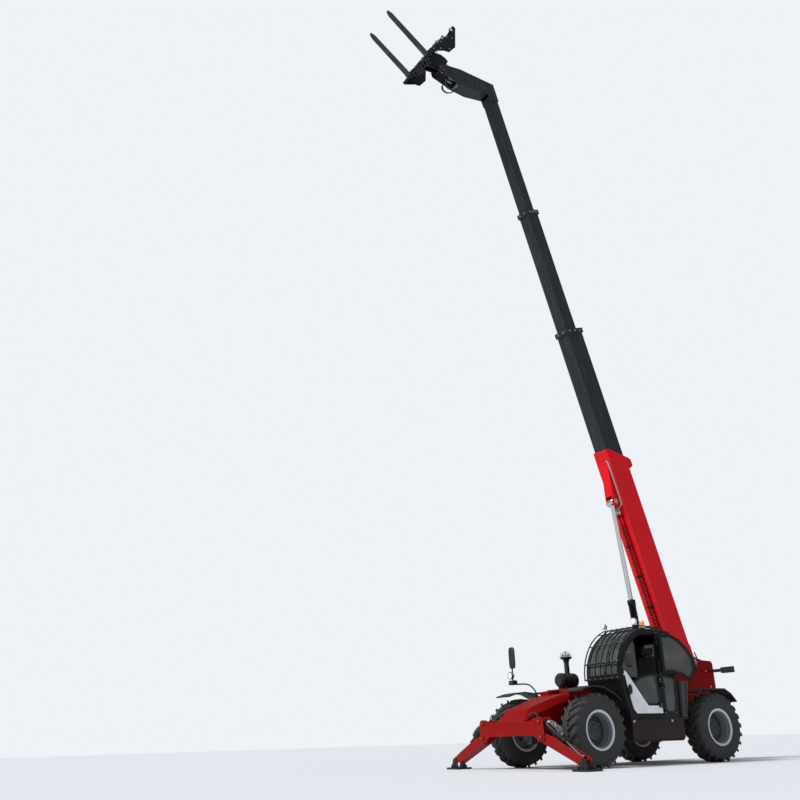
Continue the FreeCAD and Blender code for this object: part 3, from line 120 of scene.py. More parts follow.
class FinishBench:
    """Builds one material's nodes."""

    def __init__(self, name: str) -> None:
        """Start an empty material.

        Args:
            name: the material's name.
        """
        self.material = bpy.data.materials.new(name)
        self.material.use_nodes = True
        self.tree = self.material.node_tree
        self.tree.nodes.clear()
        self.surface = self.tree.nodes.new("ShaderNodeBsdfPrincipled")
        output = self.tree.nodes.new("ShaderNodeOutputMaterial")
        self.tree.links.new(self.surface.outputs[0], output.inputs["Surface"])

    def node(self, kind: str, settings: dict[str, Any], inputs: dict[Any, Any], out: Any = 0) -> Shade:
        """Add a node.

        Args:
            kind: the node's type.
            settings: its own settings.
            inputs: socket name or number to number, colour or Shade.
            out: which output to hand back.
        Returns:
            That output.
        """
        made = self.tree.nodes.new(kind)
        for key, value in settings.items():
            setattr(made, key, value)
        for key, value in inputs.items():
            self.fill(made.inputs[key], value)
        return Shade(self, made.outputs[out])

    def fill(self, socket: bpy.types.NodeSocket, value: Any) -> None:
        """Set or link a socket.

        Args:
            socket: the socket.
            value: number, colour or Shade.
        """
        if isinstance(value, Shade):
            self.tree.links.new(value.socket, socket)
        else:
            socket.default_value = (*value, 1.0) if socket.type == "RGBA" else value

    def place(self, scale: Point = (1, 1, 1), turn: Point = (0, 0, 0)) -> Shade:
        """Object coordinates, turned and then stretched.

        Args:
            scale: stretch along each axis.
            turn: turn about each axis, in radians.
        Returns:
            The coordinates.
        """
        raw = self.node("ShaderNodeTexCoord", {}, {}, "Object")
        if turn != (0, 0, 0):
            raw = self.node("ShaderNodeMapping", {}, {"Vector": raw, "Rotation": turn})
        return self.node("ShaderNodeMapping", {}, {"Vector": raw, "Scale": scale})

    def noise(self, where: Shade, scale: float, detail: float = 3.0, roughness: float = 0.55) -> Shade:
        """Cloudy variation from 0 to 1.

        Args:
            where: coordinates.
            scale: how fine it is, per metre.
            detail: octaves.
            roughness: weight of the fine octaves.
        Returns:
            The variation.
        """
        return self.node("ShaderNodeTexNoise", {}, {"Vector": where, "Scale": scale, "Detail": detail,
            "Roughness": roughness})

    def blend(self, mask: Any, first: Any, second: Any) -> Shade:
        """Mix two colours.

        Args:
            mask: 0 for the first colour, 1 for the second.
            first: colour or Shade.
            second: colour or Shade.
        Returns:
            The mixed colour.
        """
        return self.node("ShaderNodeMix", {"data_type": "RGBA"}, {0: mask, 6: first, 7: second}, 2)

    def part(self, vector: Shade, axis: str) -> Shade:
        """One part of a vector.

        Args:
            vector: the vector.
            axis: X, Y or Z.
        Returns:
            That part.
        """
        return self.node("ShaderNodeSeparateXYZ", {}, {0: vector}, axis)

    def bump(self, height: Shade, distance: float, strength: float = 1.0) -> None:
        """Roughen the surface.

        Args:
            height: relief from 0 to 1.
            distance: how deep the relief is, in metres.
            strength: share of the relief that shows.
        """
        made = self.node("ShaderNodeBump", {}, {"Height": height, "Distance": distance, "Strength": strength},
            "Normal")
        self.feed("Normal", made)

    def feed(self, socket: str, value: Any) -> None:
        """Set or link one of the surface's sockets.

        Args:
            socket: the socket's name.
            value: number, colour or Shade.
        """
        self.fill(self.surface.inputs[socket], value)


@dataclass(frozen=True)
class Finish:
    """A finish that makes its own material; each kind lays itself on the bench."""

    name: str

    def build(self) -> bpy.types.Material:
        """Make the material.

        Returns:
            The material.
        """
        bench = FinishBench(self.name)
        self.lay(bench, bench.place())
        return bench.material


@dataclass(frozen=True)
class PaintFinish(Finish):
    """Sprayed paint on steel with road dust low down, streaks and rubbed edges."""

    colour: Colour
    roughness: float = 0.32
    coat: float = 0.35
    dust: float = 0.5
    dust_top: float = 1.2
    rub: float = 0.6
    scuffs: float = 0.0
    scuff_turn: float = 0.0
    shine: float = 0.28

    def lay(self, bench: FinishBench, here: Shade) -> None:
        """Feed the surface, at the given coordinates."""
        broad = bench.noise(here, 2.3, 4.0)
        fine = bench.noise(here, 34.0, 5.0, 0.65)
        streak = bench.noise(bench.place((9.0, 9.0, 0.9)), 4.0, 4.0, 0.7)
        colour = bench.blend(broad.stepped(0.35, 0.7) * 0.35, self.colour,
            tuple(c * 0.8 for c in self.colour))
        grime = ((streak * 0.6 + fine * 0.4).stepped(0.5, 0.72) * 0.3 * self.dust).clipped()
        colour = bench.blend(grime, colour, (0.16, 0.13, 0.11))
        height = bench.part(here, "Z")
        low = (1 - height.stepped(0.15, self.dust_top)) * (0.35 + 0.65 * fine) * self.dust
        facing = bench.part(bench.node("ShaderNodeNewGeometry", {}, {}, "Normal"), "Z")
        lying = facing.stepped(0.55, 0.98) * fine.stepped(0.35, 0.75) * 0.38 * self.dust
        dusty = (low * 0.75 + lying).clipped()
        colour = bench.blend(dusty, colour, (0.34, 0.29, 0.24))
        rough = self.roughness + 0.16 * fine + dusty * 0.4 + grime * 0.3
        if self.rub:
            soft = bench.node("ShaderNodeBevel", {"samples": 4}, {"Radius": 0.006})
            hard = bench.node("ShaderNodeNewGeometry", {}, {}, "Normal")
            same = bench.node("ShaderNodeVectorMath", {"operation": "DOT_PRODUCT"}, {0: soft, 1: hard},
                "Value")
            edge = ((1 - same) * 9.0 * fine.stepped(0.42, 0.62) * self.rub).clipped()
            colour = bench.blend(edge * 0.55, colour, tuple(min(1.0, 0.35 * c + 0.22) for c in self.colour))
        if self.scuffs:
            turned = bench.place((0.35, 26.0, 26.0), (0.0, self.scuff_turn, 0.0))
            lines = bench.noise(turned, 3.0, 4.0, 0.6).stepped(0.56, 0.68) * self.scuffs
            colour = bench.blend(lines * 0.35, colour, (0.3, 0.3, 0.31))
            rough = rough + lines * 0.2
        bench.feed("Base Color", colour)
        bench.feed("Roughness", rough.clipped())
        bench.feed("Coat Weight", self.coat)
        bench.feed("Coat Roughness", 0.12)
        bench.feed("Specular IOR Level", self.shine)
        bench.bump(bench.noise(here, 260.0, 2.0) * 0.6 + fine * 0.4, 0.0006, 0.5)


@dataclass(frozen=True)
class RubberFinish(Finish):
    """Tyre or hose rubber, dusty where it meets the ground."""

    colour: Colour = (0.018, 0.018, 0.02)
    dust: float = 0.5
    dust_top: float = 1.4
    roughness: float = 0.72

    def lay(self, bench: FinishBench, here: Shade) -> None:
        """Feed the surface, at the given coordinates."""
        fine = bench.noise(here, 46.0, 5.0, 0.7)
        broad = bench.noise(here, 5.0, 3.0)
        height = bench.part(here, "Z")
        dusty = ((1 - height.stepped(0.0, self.dust_top)) * 0.55 + 0.05) * fine.stepped(0.3, 0.75) * self.dust
        colour = bench.blend(broad, self.colour, tuple(c * 1.7 for c in self.colour))
        colour = bench.blend(dusty.clipped(), colour, (0.2, 0.17, 0.145))
        bench.feed("Base Color", colour)
        bench.feed("Roughness", (self.roughness + 0.18 * fine).clipped())
        bench.feed("Specular IOR Level", 0.16)
        bench.bump(bench.noise(here, 190.0, 3.0), 0.001, 0.6)


@dataclass(frozen=True)
class MetalFinish(Finish):
    """Bare metal: chrome, zinc-plated bolts or rubbed steel."""

    colour: Colour = (0.72, 0.72, 0.74)
    roughness: float = 0.12
    spots: float = 0.2
    grain: float = 0.0003
    spot_colour: Colour = (0.18, 0.14, 0.1)

    def lay(self, bench: FinishBench, here: Shade) -> None:
        """Feed the surface, at the given coordinates."""
        fine = bench.noise(here, 60.0, 5.0, 0.7)
        broad = bench.noise(here, 7.0, 3.0)
        mask = (fine.stepped(0.55, 0.75) * broad.stepped(0.35, 0.7) * self.spots).clipped()
        bench.feed("Base Color", bench.blend(mask, self.colour, self.spot_colour))
        bench.feed("Metallic", (1 - mask * 0.8).clipped())
        bench.feed("Roughness", (self.roughness * 0.8 + self.roughness * 0.8 * broad + mask * 0.3).clipped())
        bench.bump(fine, self.grain, 0.4)


@dataclass(frozen=True)
class MouldingFinish(Finish):
    """Moulded plastic or vinyl with a grain."""

    colour: Colour = (0.02, 0.02, 0.022)
    roughness: float = 0.5
    coat: float = 0.0
    grain: float = 420.0
    depth: float = 0.0004
    dust: float = 0.25

    def lay(self, bench: FinishBench, here: Shade) -> None:
        """Feed the surface, at the given coordinates."""
        cloud = bench.noise(here, 6.0, 4.0)
        fine = bench.noise(here, 55.0, 4.0, 0.65)
        colour = bench.blend(cloud.stepped(0.3, 0.75) * 0.5, self.colour,
            tuple(min(1.0, c * 0.75) for c in self.colour))
        facing = bench.part(bench.node("ShaderNodeNewGeometry", {}, {}, "Normal"), "Z")
        lying = (facing.stepped(0.2, 0.95) * 0.7 + 0.2) * fine.stepped(0.4, 0.75) * self.dust
        colour = bench.blend(lying.clipped(), colour, (0.3, 0.26, 0.22))
        bench.feed("Base Color", colour)
        bench.feed("Roughness", (self.roughness + 0.15 * fine + lying * 0.3).clipped())
        bench.feed("Coat Weight", self.coat)
        bench.feed("Coat Roughness", 0.06)
        cells = bench.node("ShaderNodeTexVoronoi", {}, {"Vector": here, "Scale": self.grain}, "Distance")
        bench.bump(cells, self.depth, 0.5)


@dataclass(frozen=True)
class GlassFinish(Finish):
    """Clear pane or lens; tint and see-through share set per kind."""

    colour: Colour = (0.06, 0.07, 0.066)
    alpha: float = 0.76
    roughness: float = 0.09
    glow: float = 0.0

    def lay(self, bench: FinishBench, here: Shade) -> None:
        """Feed the surface, at the given coordinates."""
        film = bench.noise(here, 3.0, 4.0)
        specks = bench.noise(here, 90.0, 3.0).stepped(0.55, 0.8)
        haze = (film.stepped(0.4, 0.75) * 0.1 + specks * 0.05).clipped()
        bench.feed("Base Color", bench.blend(haze, self.colour, (0.5, 0.47, 0.43)))
        bench.feed("Roughness", (self.roughness + haze * 0.8).clipped())
        bench.feed("Alpha", (self.alpha + haze * 0.6).clipped())
        bench.feed("Coat Weight", 0.6)
        bench.feed("Coat Roughness", 0.09)
        if self.glow:
            bench.feed("Emission Color", self.colour)
            bench.feed("Emission Strength", self.glow)


class Paint(Enum):
    """Finishes by what they are on."""

    # One red enamel in a darker copy: painted shade that stands for a cast shadow on the chassis, nose, legs
    # and engine bay.
    RED = PaintFinish("red_enamel_painted_shade", (0.225, 0.0012, 0.0018), 0.34, 0.02, 0.05, shine=0.06)
    # The same red enamel in a brighter copy with painted sunlight, for the boom and its bolts and weld beads.
    BOOM_RED = PaintFinish("red_enamel_painted_sunlit", (0.68, 0.004, 0.01), 0.32, 0.06, 0.04, shine=0.16)
    BOOM_GREY = PaintFinish("slide_paint", (0.015, 0.018, 0.022), 0.38, 0.06, 0.1, scuffs=0.6,
        scuff_turn=radians(73.7), shine=0.22)
    BLACK = PaintFinish("black_satin_paint", (0.0045, 0.0045, 0.0055), 0.36, 0.05, 0.08, shine=0.18)
    GLOSS_BLACK = PaintFinish("brown_black_gloss", (0.021, 0.0085, 0.0075), 0.28, 0.06, 0.04, shine=0.16)
    AXLE = PaintFinish("axle_paint", (0.018, 0.018, 0.019), 0.5, 0.0, 0.6, 1.4)
    RIM = PaintFinish("rim_paint", (0.6, 0.61, 0.63), 0.34, 0.15, 0.3, 1.1)
    # The rim paint in a darker, bluer copy: painted shade over the whole rim, whose added lips keep the plain
    # rim paint.
    BARREL = PaintFinish("rim_paint_painted_shade", (0.125, 0.145, 0.17), 0.4, 0.06, 0.25, 1.1, shine=0.2)
    # The rim paint in a still darker copy: painted deep shade on the hub cover and inner disc.
    DISH = PaintFinish("rim_paint_painted_deep_shade", (0.02, 0.025, 0.034), 0.44, 0.04, 0.25, 1.1, shine=0.2)
    FORK = PaintFinish("fork_paint", (0.032, 0.033, 0.034), 0.45, 0.0, 0.5, rub=1.6, scuffs=1.4,
        scuff_turn=radians(36.0))
    TYRE = RubberFinish("tyre_rubber", (0.0058, 0.0078, 0.012), 0.14, 0.8, 0.7)
    HOSE = RubberFinish("hose_rubber", (0.014, 0.014, 0.015), 0.2, 0.8, 0.5)
    WRAP = RubberFinish("hose_guard", (0.01, 0.01, 0.011), 0.1, 0.8, 0.45)
    GUARDED = RubberFinish("guarded_hose", (0.62, 0.006, 0.008), 0.1, 0.8, 0.45)
    CHROME = MetalFinish("hard_chrome", (0.56, 0.57, 0.59), 0.025, 0.05, 0.00003)
    ZINC = MetalFinish("zinc_bolt", (0.52, 0.52, 0.51), 0.28, 0.5)
    STEEL = MetalFinish("rubbed_steel", (0.45, 0.44, 0.43), 0.36, 0.7)
    PLASTIC = MouldingFinish("black_moulding", (0.0065, 0.0065, 0.0075), dust=0.05)
    VINYL = MouldingFinish("seat_vinyl", (0.014, 0.014, 0.015), 0.55, 0.0, 260.0, 0.0006, 0.08)
    WHITE = MouldingFinish("white_moulding", (0.8, 0.81, 0.84), 0.22, 0.7, 500.0, 0.0001, 0.1)
    GREY_TRIM = MouldingFinish("grey_moulding", (0.04, 0.041, 0.043), 0.5, 0.0, dust=0.12)
    PANE = GlassFinish("cab_pane")
    CLEAR = GlassFinish("clear_dome", (0.2, 0.22, 0.23), 0.26)
    LENS = GlassFinish("lamp_lens", (0.86, 0.88, 0.9), 0.85, 0.08)
    AMBER = GlassFinish("amber_lens", (0.85, 0.28, 0.02), 0.92, 0.08, 0.15)
    RUBY = GlassFinish("red_lens", (0.55, 0.01, 0.01), 0.95, 0.08, 0.1)
    MIRROR = MetalFinish("mirror_glass", (0.82, 0.84, 0.86), 0.02, 0.02, 0.00002)

    def material(self) -> bpy.types.Material:
        """The material, made on first use."""
        return bpy.data.materials.get(self.value.name) or self.value.build()


def slanted(origin: Point, raised: float) -> Matrix:
    """Frame turned up in the side plane: x along, y to the left, z up from x.

    Args:
        origin: where it starts.
        raised: turn up from level, in degrees.
    Returns:
        The frame.
    """
    return Matrix.Translation(origin) @ Matrix.Rotation(-radians(raised), 4, "Y")


@dataclass(frozen=True)
class Layout:
    """Leading sizes of the machine, in metres."""

    front_axle: float = 0.4595
    wheelbase: float = 3.07
    axle_height: float = 0.612
    wheel_y: float = 1.01
    head_pivot: tuple[float, float] = (14.15, -1.435)


LAYOUT = Layout()
# Every place is measured from the ground below the front axle.
FRONT = Matrix.Translation((LAYOUT.front_axle, 0, 0))
# Along the boom from its foot, and along the forks from the carriage pivot
BOOM = slanted((-3.55, 0, 1.87), 73.7)
FORK = slanted(BOOM @ Vector((LAYOUT.head_pivot[0], 0, LAYOUT.head_pivot[1])), 36.0)
SIDES = (("left", 1), ("right", -1))
ENDS = (("front", 0.0), ("rear", -LAYOUT.wheelbase))


def mm(*flat: float) -> list[tuple[float, float]]:
    """Pairs of metres.

    Args:
        flat: the same pairs in millimetres, one number after the other.
    Returns:
        The pairs.
    """
    return [(one / 1000, two / 1000) for one, two in zip(flat[::2], flat[1::2])]


class Sketch:
    """A mesh under work, made of profiles, lathed shapes, tubes and bolts."""

    def __init__(self, matrix: Matrix | None = None) -> None:
        """Start empty.

        Args:
            matrix: frame that the shapes are given in.
        """
        self.mesh = bmesh.new()
        self.within(matrix or Matrix.Identity(4))

    def within(self, matrix: Matrix) -> "Sketch":
        """Carry on in another frame.

        Args:
            matrix: the frame, given from the front axle.
        Returns:
            This sketch.
        """
        self.matrix = FRONT @ matrix
        return self

    def vert(self, place: Point) -> bmesh.types.BMVert:
        """Add a vertex given in the sketch's frame."""
        return self.mesh.verts.new(self.matrix @ Vector(place))

    def block(self, low: Point, high: Point) -> "Sketch":
        """Add a block between two corners.

        Args:
            low: lowest corner.
            high: highest corner.
        Returns:
            This sketch.
        """
        outline = [(low[0], low[2]), (high[0], low[2]), (high[0], high[2]), (low[0], high[2])]
        return self.plate(outline, low[1], high[1])

    def plate(self, outline: Sequence[tuple[float, float]], y0: float, y1: float) -> "Sketch":
        """Add a flat plate with an (x, z) outline.

        Args:
            outline: corners in order.
            y0: one face.
            y1: the other face.
        Returns:
            This sketch.
        """
        one = [self.vert((x, y0, z)) for x, z in outline]
        two = [self.vert((x, y1, z)) for x, z in outline]
        self.skin([one, two], True)
        return self

    def skin(self, rings: list[list[bmesh.types.BMVert]], capped: bool, closed: bool = False) -> None:
        """Join rings of vertices with faces.

        Args:
            rings: rings of the same count, in order.
            capped: close both ends.
            closed: join the last ring to the first.
        """
        count = len(rings[0])
        pairs = list(zip(rings, rings[1:])) + ([(rings[-1], rings[0])] if closed else [])
        for one, two in pairs:
            for index in range(count):
                after = (index + 1) % count
                self.mesh.faces.new((one[index], one[after], two[after], two[index]))
        if capped:
            self.mesh.faces.new(rings[0][::-1])
            self.mesh.faces.new(rings[-1])

    def lathe(self, profile: Sequence[tuple[float, float]], centre: Point, axis: Point,
            steps: int = 32) -> "Sketch":
        """Turn a closed (radius, distance along the axis) profile.

        Args:
            profile: points in order; the ends close on each other.
            centre: a place on the axis.
            axis: the axis.
            steps: facets round the axis.
        Returns:
            This sketch.
        """
        along = Vector(axis).normalized()
        side = along.orthogonal().normalized()
        other = along.cross(side)
        base = Vector(centre)
        rings = []
        for index in range(steps):
            turn = 2 * pi * index / steps
            out = side * cos(turn) + other * sin(turn)
            rings.append([self.vert(base + out * max(r, 0.0004) + along * h) for r, h in profile])
        self.skin(rings, False, True)
        return self

    def bar(self, start: Point, end: Point, radius: float, steps: int = 16, chamfer: float = 0.0) -> "Sketch":
        """Add a round bar.

        Args:
            start: one end.
            end: the other end.
            radius: its radius.
            steps: facets round it.
            chamfer: size of the end chamfers.
        Returns:
            This sketch.
        """
        run = Vector(end) - Vector(start)
        cut = min(chamfer, radius * 0.5)
        if not cut:
            return self.tube((start, end), radius, steps, 1)
        profile = [(0, 0), (radius - cut, 0), (radius, cut), (radius, run.length - cut),
            (radius - cut, run.length), (0, run.length)]
        return self.lathe(profile, start, run, steps)

    def tube(self, route: Sequence[Point], radius: float, steps: int = 10, smooth: int = 6) -> "Sketch":
        """Sweep a round section along a smooth line through the given places.

        Args:
            route: places the tube passes.
            radius: its radius.
            steps: facets round it.
            smooth: divisions between two places.
        Returns:
            This sketch.
        """
        places = [Vector(p) for p in route]
        line: list[Vector] = []
        for index in range(len(places) - 1):
            before = places[max(index - 1, 0)]
            one, two = places[index], places[index + 1]
            after = places[min(index + 2, len(places) - 1)]
            for part in range(smooth):
                t = part / smooth
                line.append(
                    0.5 * (2 * one + (two - before) * t + (2 * before - 5 * one + 4 * two - after) * t * t + (
                    3 * one - before - 3 * two + after) * t ** 3))
        line.append(places[-1])
        side = (line[1] - line[0]).orthogonal().normalized()
        rings = []
        for index, centre in enumerate(line):
            run = (line[min(index + 1, len(line) - 1)] - line[max(index - 1, 0)]).normalized()
            side = (side - run * side.dot(run)).normalized()
            other = run.cross(side)
            rings.append(
                [self.vert(centre + (side * cos(t) + other * sin(t)) * radius) for t in (
                2 * pi * k / steps for k in range(steps))])
        self.skin(rings, True)
        return self

    def cushion(self, long: float, wide: float, thick: float, crown: float) -> "Sketch":
        """Add a crowned cushion lying on the frame's own floor, with a stitched groove round its middle.

        Args:
            long: half its length, along x.
            wide: half its width, along y.
            thick: height of its edge.
            crown: rise of its middle above the edge.
        Returns:
            This sketch.
        """
        # columns: height, inset from the edge
        sides = [(0.0, 0.016), (0.008, 0.005), (thick * 0.3, 0.0), (thick * 0.7, 0.0), (thick * 0.92, 0.005),
            (thick, 0.016), (thick + crown * 0.34, 0.034), (thick + crown * 0.6, 0.056),
            (thick + crown * 0.52, 0.062), (thick + crown * 0.66, 0.069)]
        rings = [[self.vert((x, y, h)) for x, y in rounded(long - cut, wide - cut, 6.0, 56)] for h,
            cut in sides]
        for share, rise in ((0.6, 0.9), (0.4, 0.97), (0.18, 1.0)):
            rings.append([self.vert((x, y, thick + crown * rise)) for x,
                y in rounded(long * share, wide * share, 4.0, 56)])
        self.skin(rings, True)
        return self

    def loop(self, long: float, wide: float, height: float, radius: float) -> "Sketch":
        """Add a round bead along a cushion's outline.

        Args:
            long: half its length, along x.
            wide: half its width, along y.
            height: height above the frame's floor.
            radius: the bead's radius.
        Returns:
            This sketch.
        """
        places = [Vector((x, y, height)) for x, y in rounded(long, wide, 6.0, 56)]
        rings = []
        for index, centre in enumerate(places):
            run = (places[(index + 1) % 56] - places[index - 1]).normalized()
            side = run.cross(Vector((0, 0, 1)))
            rings.append([self.vert(centre + side * radius * cos(t) + Vector((0, 0,
                radius * sin(t)))) for t in (2 * pi * k / 6 for k in range(6))])
        self.skin(rings, False, True)
        return self

    def bolt(self, seat: Point, axis: Point, size: float = 0.012) -> "Sketch":
        """Add a hexagon bolt head with its washer.

        Args:
            seat: where the washer lies.
            axis: the way the head points.
            size: half the width of the head.
        Returns:
            This sketch.
        """
        self.lathe([(0.0, 0.0), (size * 1.35, 0.0), (size * 1.35, size * 0.25), (0.0, size * 0.25)], seat,
            axis, 14)
        base = Vector(seat) + Vector(axis).normalized() * size * 0.25
        self.lathe([(0.0, 0.0), (size * 1.1, 0.0), (size * 1.1, size * 0.75), (size * 0.85, size * 0.95),
            (0.0, size * 0.95)], base, axis, 6)
        return self

    def piece(self, name: str, paint: Paint, body: str = "chassis", edge: float = 0.0,
            replaces: Iterable[str] = ()) -> bpy.types.Object:
        """Turn the sketch into a piece that rides on a body.

        Args:
            name: the piece's name.
            paint: its finish.
            body: the body it moves with.
            edge: width of its rounded edges.
            replaces: nodes it stands for.
        Returns:
            The piece.
        """
        bmesh.ops.recalc_face_normals(self.mesh, faces=self.mesh.faces)
        data = bpy.data.meshes.new(name)
        self.mesh.to_mesh(data)
        self.mesh.free()
        made = bpy.data.objects.new(name, data)
        bpy.context.scene.collection.objects.link(made)
        data.materials.append(paint.material())
        data.shade_smooth()
        data.set_sharp_from_angle(angle=radians(38))
        if edge:
            round_edges(made, edge)
        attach(made, body)
        for node in replaces:
            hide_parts(node)
        LOG.info("piece %s on %s", name, body)
        return made


def round_edges(piece: bpy.types.Object, width: float, steps: int = 2) -> None:
    """Give a piece small rounded edges.

    Args:
        piece: the object.
        width: width of the rounding.
        steps: facets over the rounding.
    """
    edge = piece.modifiers.new("edge", "BEVEL")
    edge.width = width
    edge.segments = steps
    edge.limit_method = "ANGLE"
    edge.angle_limit = radians(35)
    edge.harden_normals = False
    edge.use_clamp_overlap = True


def rounded(half_x: float, half_y: float, power: float, count: int) -> list[tuple[float, float]]:
    """Outline between a rectangle and an oval.

    Args:
        half_x: half its length.
        half_y: half its width.
        power: 2 for an oval, higher for squarer corners.
        count: number of places round it.
    Returns:
        The places.
    """
    places = []
    for k in range(count):
        t = 2 * pi * (k + 0.5) / count
        c, s = cos(t), sin(t)
        places.append((half_x * copysign(abs(c) ** (2 / power), c), half_y * copysign(abs(s) ** (2 / power),
            s)))
    return places


# Finishes of the nodes that come straight from the frame; wheels follow by their endings.
COATS = {Paint.RED: "chassis_frame stabiliser_beam engine_bay engine_hood left_leg right_leg",
    Paint.BOOM_RED: "boom_outer", Paint.BOOM_GREY: "boom_second boom_third boom_inner boom_head",
    Paint.BLACK: "lift_barrel tilt_barrel left_leg_barrel right_leg_barrel cab_floor_carriers cab_guard " "cab_shell cab_left_frame carriage_frame upper_door lower_door left_foot right_foot", Paint.GLOSS_BLACK: "side_box", Paint.GREY_TRIM: "rear_tank", Paint.PLASTIC: "fenders mirrors air_cleaner dashboard", Paint.AXLE: "front_axle rear_axle engine_block", Paint.FORK: "forks", Paint.WHITE: "door_panel", Paint.LENS: "roof_lamps", Paint.VINYL: "operator_seat", Paint.WRAP: "boom_hoses", Paint.PANE: "cab_glass lower_door_glass upper_door_glass"}
# The rim node takes the rim paint with painted shade.
ENDINGS = {"tyre": Paint.TYRE, "rim": Paint.BARREL, "knuckle": Paint.AXLE}


@dataclass
class CarriedPieces:
    """Finishes for the pieces that come straight from the frame."""

    soft_edges: float = 0.004

    def dress(self, nodes: dict[str, bpy.types.Object]) -> None:
        """Give every node its finish and small rounded edges.

        Args:
            nodes: the frame's nodes by name.
        """
        coats = {name: paint for paint, names in COATS.items() for name in names.split()}
        for name, node in nodes.items():
            ending = name.rsplit("_", 1)[-1]
            paint = coats.get(name) or ENDINGS.get(ending, Paint.CHROME)
            node.data.materials.clear()
            node.data.materials.append(paint.material())
            weld = node.modifiers.new("seams", "WELD")
            weld.merge_threshold = 0.0001
            if paint not in (Paint.PANE, Paint.TYRE):
                round_edges(node, self.soft_edges, 1)
        LOG.info("%d carried pieces dressed", len(nodes))


@dataclass
class WheelTrim:
    """Nuts, hub cover, rolled rim lip, valve and sidewall ribs of the four wheels."""

    nut_circle: float = 0.205
    nut_count: int = 12
    hub_bolt_circle: float = 0.1

    def build(self) -> None:
        """Build every wheel's fittings."""
        for end, x in ENDS:
            for side, out in SIDES:
                self.one(f"{end}_{side}", x, out)

    def one(self, label: str, x: float, out: int) -> None:
        """Build one wheel's fittings.

        Args:
            label: which wheel.
            x: place of its axle.
            out: 1 on the left, -1 on the right.
        """
        body = f"{label}_wheel"
        centre = Vector((x, out * LAYOUT.wheel_y, LAYOUT.axle_height))
        axis = Vector((0, out, 0))

        def ring(radius: float, count: int, depth: float) -> list[Vector]:
            """Places on a circle about the wheel's axis."""
            turns = [2 * pi * k / count for k in range(count)]
            return [centre + axis * depth + Vector((cos(t), 0, sin(t))) * radius for t in turns]

        nuts = Sketch()
        for place in ring(self.nut_circle, self.nut_count, -0.057):
            nuts.bolt(place, axis, 0.015)
            nuts.bar(place, place + axis * 0.03, 0.0075, 10, 0.002)
        nuts.piece(f"{label}_wheel_nuts", Paint.ZINC, body)
        # The hub cover and its disc take the rim paint with painted deep shade.
        cover = Sketch()
        cover.lathe(mm(50, 40, 122, 36, 126, 30, 132, 30, 132, 40, 118, 52, 60, 56, 50, 54), centre, axis, 40)
        for place in ring(self.hub_bolt_circle, 8, 0.053):
            cover.bolt(place, axis, 0.009)
        cover.lathe(mm(0, 46, 34, 46, 34, 60, 24, 68, 0, 70), centre, axis, 24)
        cover.lathe(mm(160, -50, 269.5, -44, 269.5, -38, 246, -40, 238, -34, 172, -40, 160, -44), centre,
            axis, 56)
        cover.piece(f"{label}_hub_cover", Paint.DISH, body)
        lip = Sketch()
        for face in (1, -1):
            # columns: radius, distance from the wheel's middle
            profile = mm(284, 128, 298, 152, 305, 166.5, 318, 170.5, 330.5, 171.2, 332.5, 176.5, 322, 180,
                306, 177.5, 293, 166, 286, 146, 276, 130)
            lip.lathe([(r, face * y) for r, y in profile], centre, axis, 72)
        lip.lathe(mm(270, 120, 276, 120, 276, 112, 270, 112), centre, axis, 56)
        lip.piece(f"{label}_rim_lips", Paint.RIM, body)
        valve = Sketch()
        foot, bend, tip = (centre + Vector((0, out * y, z)) for y, z in ((0.02, 0.262), (0.085, 0.242),
            (0.098, 0.234)))
        valve.tube([foot, centre + Vector((0, out * 0.055, 0.258)), bend], 0.005, 8)
        valve.bar(bend, tip, 0.007, 8, 0.001)
        valve.piece(f"{label}_valve", Paint.STEEL, body)
        ribs = Sketch()
        for face in (1, -1):
            for radius, depth in ((0.352, 0.1742), (0.42, 0.1902), (0.486, 0.1988)):
                profile = [(radius - 0.006, face * (depth - 0.004)), (radius - 0.004, face * (depth + 0.002)),
                    (radius + 0.004, face * (depth + 0.003)), (radius + 0.006, face * (depth - 0.003))]
                ribs.lathe(profile, centre, axis, 72)
        ribs.piece(f"{label}_sidewall_ribs", Paint.TYRE, body)


